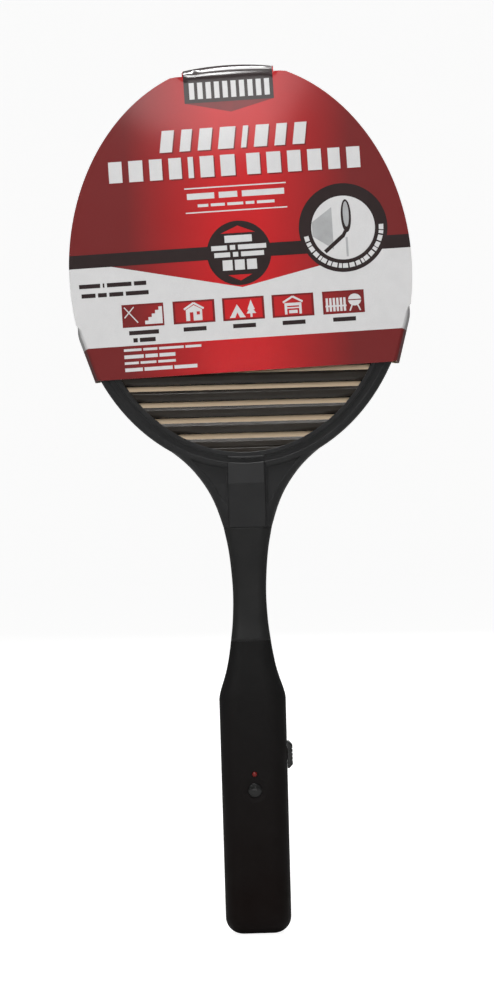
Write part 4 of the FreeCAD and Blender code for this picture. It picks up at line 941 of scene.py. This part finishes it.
def side_fold(name, side):
    """The board folded round one side of the head, below the card's widest place."""
    top, low = Vector(SIDE_TOP), Vector(SIDE_LOW)
    out = Vector((top.y - low.y, low.x - top.x)).normalized()
    path = fold_path()
    outer, inner, faces, ink_names = [], [], [], []
    for row in range(SIDE_ROWS + 1):
        foot = top.lerp(low, row / SIDE_ROWS)
        tuck = max(0.0, 1 - row / SIDE_ROWS / SIDE_TUCK) ** 2
        for index, (reach, depth) in enumerate(path):
            before, after = path[max(index - 1, 0)], path[min(index + 1, len(path) - 1)]
            tangent = Vector((after[0] - before[0], after[1] - before[1])).normalized()
            normal = Vector((tangent.y, -tangent.x))
            bulge = max(0.0, reach) * (1 - 0.9 * tuck) + min(0.0, reach) - 0.5 * tuck
            for points, inward in ((outer, 0.0), (inner, BOARD)):
                here = foot + out * (bulge - normal.x * inward)
                points.append(turned(side * here.x, (depth - normal.y * inward) * (1 - 0.07 * tuck), here.y))
    for row in range(SIDE_ROWS):
        for index in range(len(path) - 1):
            first = row * len(path) + index
            faces.append((first, first + 1, first + len(path) + 1, first + len(path)))
            height = top.lerp(low, (row + 0.5) / SIDE_ROWS).y
            ink_names.append("white" if height > FIELD_LOW - 0.6 else "red")
    strip = board_solid(name, outer, inner, facing_out(outer, inner, faces), ink_names)
    soften(strip, 40)
    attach(strip, "package_sleeve")


# ---------------------------------------------------------------- stage, light, camera


# How much the paper and the air glow for the camera alone, so that the swatter keeps dark reflections.
PAPER_GLOW = 0.90
AIR_GLOW = 0.94
AIR_LIGHT = 0.12
# The round studio in metres: floor radius, radius of the curve up to the wall, height of the wall.
FLOOR_RADIUS = 6.0
COVE = 2.0
WALL_TOP = 7.0
FLOOR_DROP = 0.3


def studio_paper():
    """Matte pale paper that glows for the camera alone."""
    look = Look("studio_paper")
    look.colour(look.blend_colours(look.noise(400), (0.42, 0.42, 0.415), (0.46, 0.46, 0.455)))
    look.rough(look.spread(look.noise(200), 0.75, 0.9))
    look.relief(look.noise(1.5), 0.02)
    seen = look.tree.nodes.new("ShaderNodeLightPath").outputs["Is Camera Ray"]
    look.value(Emission_Color=(1, 1, 1, 1))
    look.link(look.calculate("MULTIPLY", seen, PAPER_GLOW), look.shader.inputs["Emission Strength"])
    return look.material


def ring_of(radius, height, count=64):
    """A level ring of points, radius and height in metres."""
    ring = []
    for step in range(count):
        angle = 2 * math.pi * step / count
        across, along = radius * math.cos(angle), radius * math.sin(angle)
        ring.append((across / MM, along / MM, height / MM - FLOOR_DROP))
    return ring


def backdrop():
    """A pale round floor, and a wall that curves up all round it and only the camera sees."""
    paper = studio_paper()
    floor_ring = ring_of(FLOOR_RADIUS, 0.0)
    floor = new_piece("studio_floor", floor_ring, [tuple(range(len(floor_ring)))], [paper])
    rings = [floor_ring]
    for step in range(1, 17):
        angle = math.pi / 2 * step / 16
        rings.append(ring_of(FLOOR_RADIUS + COVE * math.sin(angle), COVE - COVE * math.cos(angle)))
    rings.append(ring_of(FLOOR_RADIUS + COVE, WALL_TOP))
    points, faces = stacked(rings, closed_loop=False)
    wall = new_piece("studio_wall", points, [face for face in faces if len(face) == 4], [paper])
    wall.visible_diffuse = False
    wall.visible_glossy = False
    wall.visible_shadow = False


def area_light(name, place, aim, wide, tall, power):
    data = bpy.data.lights.new(name, "AREA")
    data.shape = "RECTANGLE"
    data.size = wide
    data.size_y = tall
    data.energy = power
    lamp = bpy.data.objects.new(name, data)
    lamp.location = place
    lamp.rotation_euler = (Vector(aim) - Vector(place)).to_track_quat("-Z", "Y").to_euler()
    bpy.context.scene.collection.objects.link(lamp)
    return lamp


def studio():
    """Soft light: a large key, one from above, one from behind, and small ones that shape reflections."""
    world = bpy.data.worlds.new("studio_air")
    world.use_nodes = True
    tree = world.node_tree
    seen = tree.nodes.new("ShaderNodeLightPath").outputs["Is Camera Ray"]
    strength = tree.nodes.new("ShaderNodeMapRange")
    strength.inputs["To Min"].default_value = AIR_LIGHT
    strength.inputs["To Max"].default_value = AIR_GLOW
    tree.links.new(seen, strength.inputs["Value"])
    tree.nodes["Background"].inputs["Color"].default_value = (1, 1, 1, 1)
    tree.links.new(strength.outputs["Result"], tree.nodes["Background"].inputs["Strength"])
    bpy.context.scene.world = world
    head = (0, 0, 0.36)
    area_light("key", (-1.1, -1.5, 1.5), head, 0.8, 0.8, 8.4)
    area_light("top", (-0.05, -0.35, 1.5), head, 0.7, 0.25, 12)
    area_light("haze", (-0.05, -1.9, 0.88), head, 0.3, 0.15, 0.6)
    area_light("behind", (0.7, 2.2, 1.5), head, 1.0, 1.0, 30)
    near_camera = area_light("near_camera", (0.0, -1.5, 0.33), (0, 0, 0.32), 0.2, 0.2, 10)
    near_camera.visible_glossy = False
    crown = (0, 0, 0.49)
    glare_high = area_light("glare_high", (-0.03, -0.06, 1.25), crown, 0.07, 0.4, 7)
    glare_high.visible_diffuse = False
    glare_low = area_light("glare_low", (-0.05, -1.25, 1.35), crown, 0.07, 0.25, 3)
    glare_low.visible_diffuse = False


CAMERA_DISTANCE = 1.4
CAMERA_AIM = (0.0, 0.0, 0.247)
CAMERA_TURN = math.radians(1.6)
PICTURE_TALL = 0.572


def camera():
    """A long lens straight in front, rolled a little."""
    data = bpy.data.cameras.new("photo_camera")
    data.angle = 2 * math.atan(PICTURE_TALL / 2 / CAMERA_DISTANCE)
    data.clip_start = 0.05
    viewer = bpy.data.objects.new("photo_camera", data)
    viewer.location = (CAMERA_AIM[0], -CAMERA_DISTANCE, CAMERA_AIM[2])
    viewer.rotation_euler = (math.pi / 2, CAMERA_TURN, 0)
    bpy.context.scene.collection.objects.link(viewer)
    bpy.context.scene.camera = viewer


paint_frame()
neck_sleeve()
neck_blade()
neck_leads()
button_spring()
retail_card()
side_fold("card_side_left", -1)
side_fold("card_side_right", 1)
backdrop()
studio()
camera()
bpy.context.scene.view_settings.view_transform = "Standard"
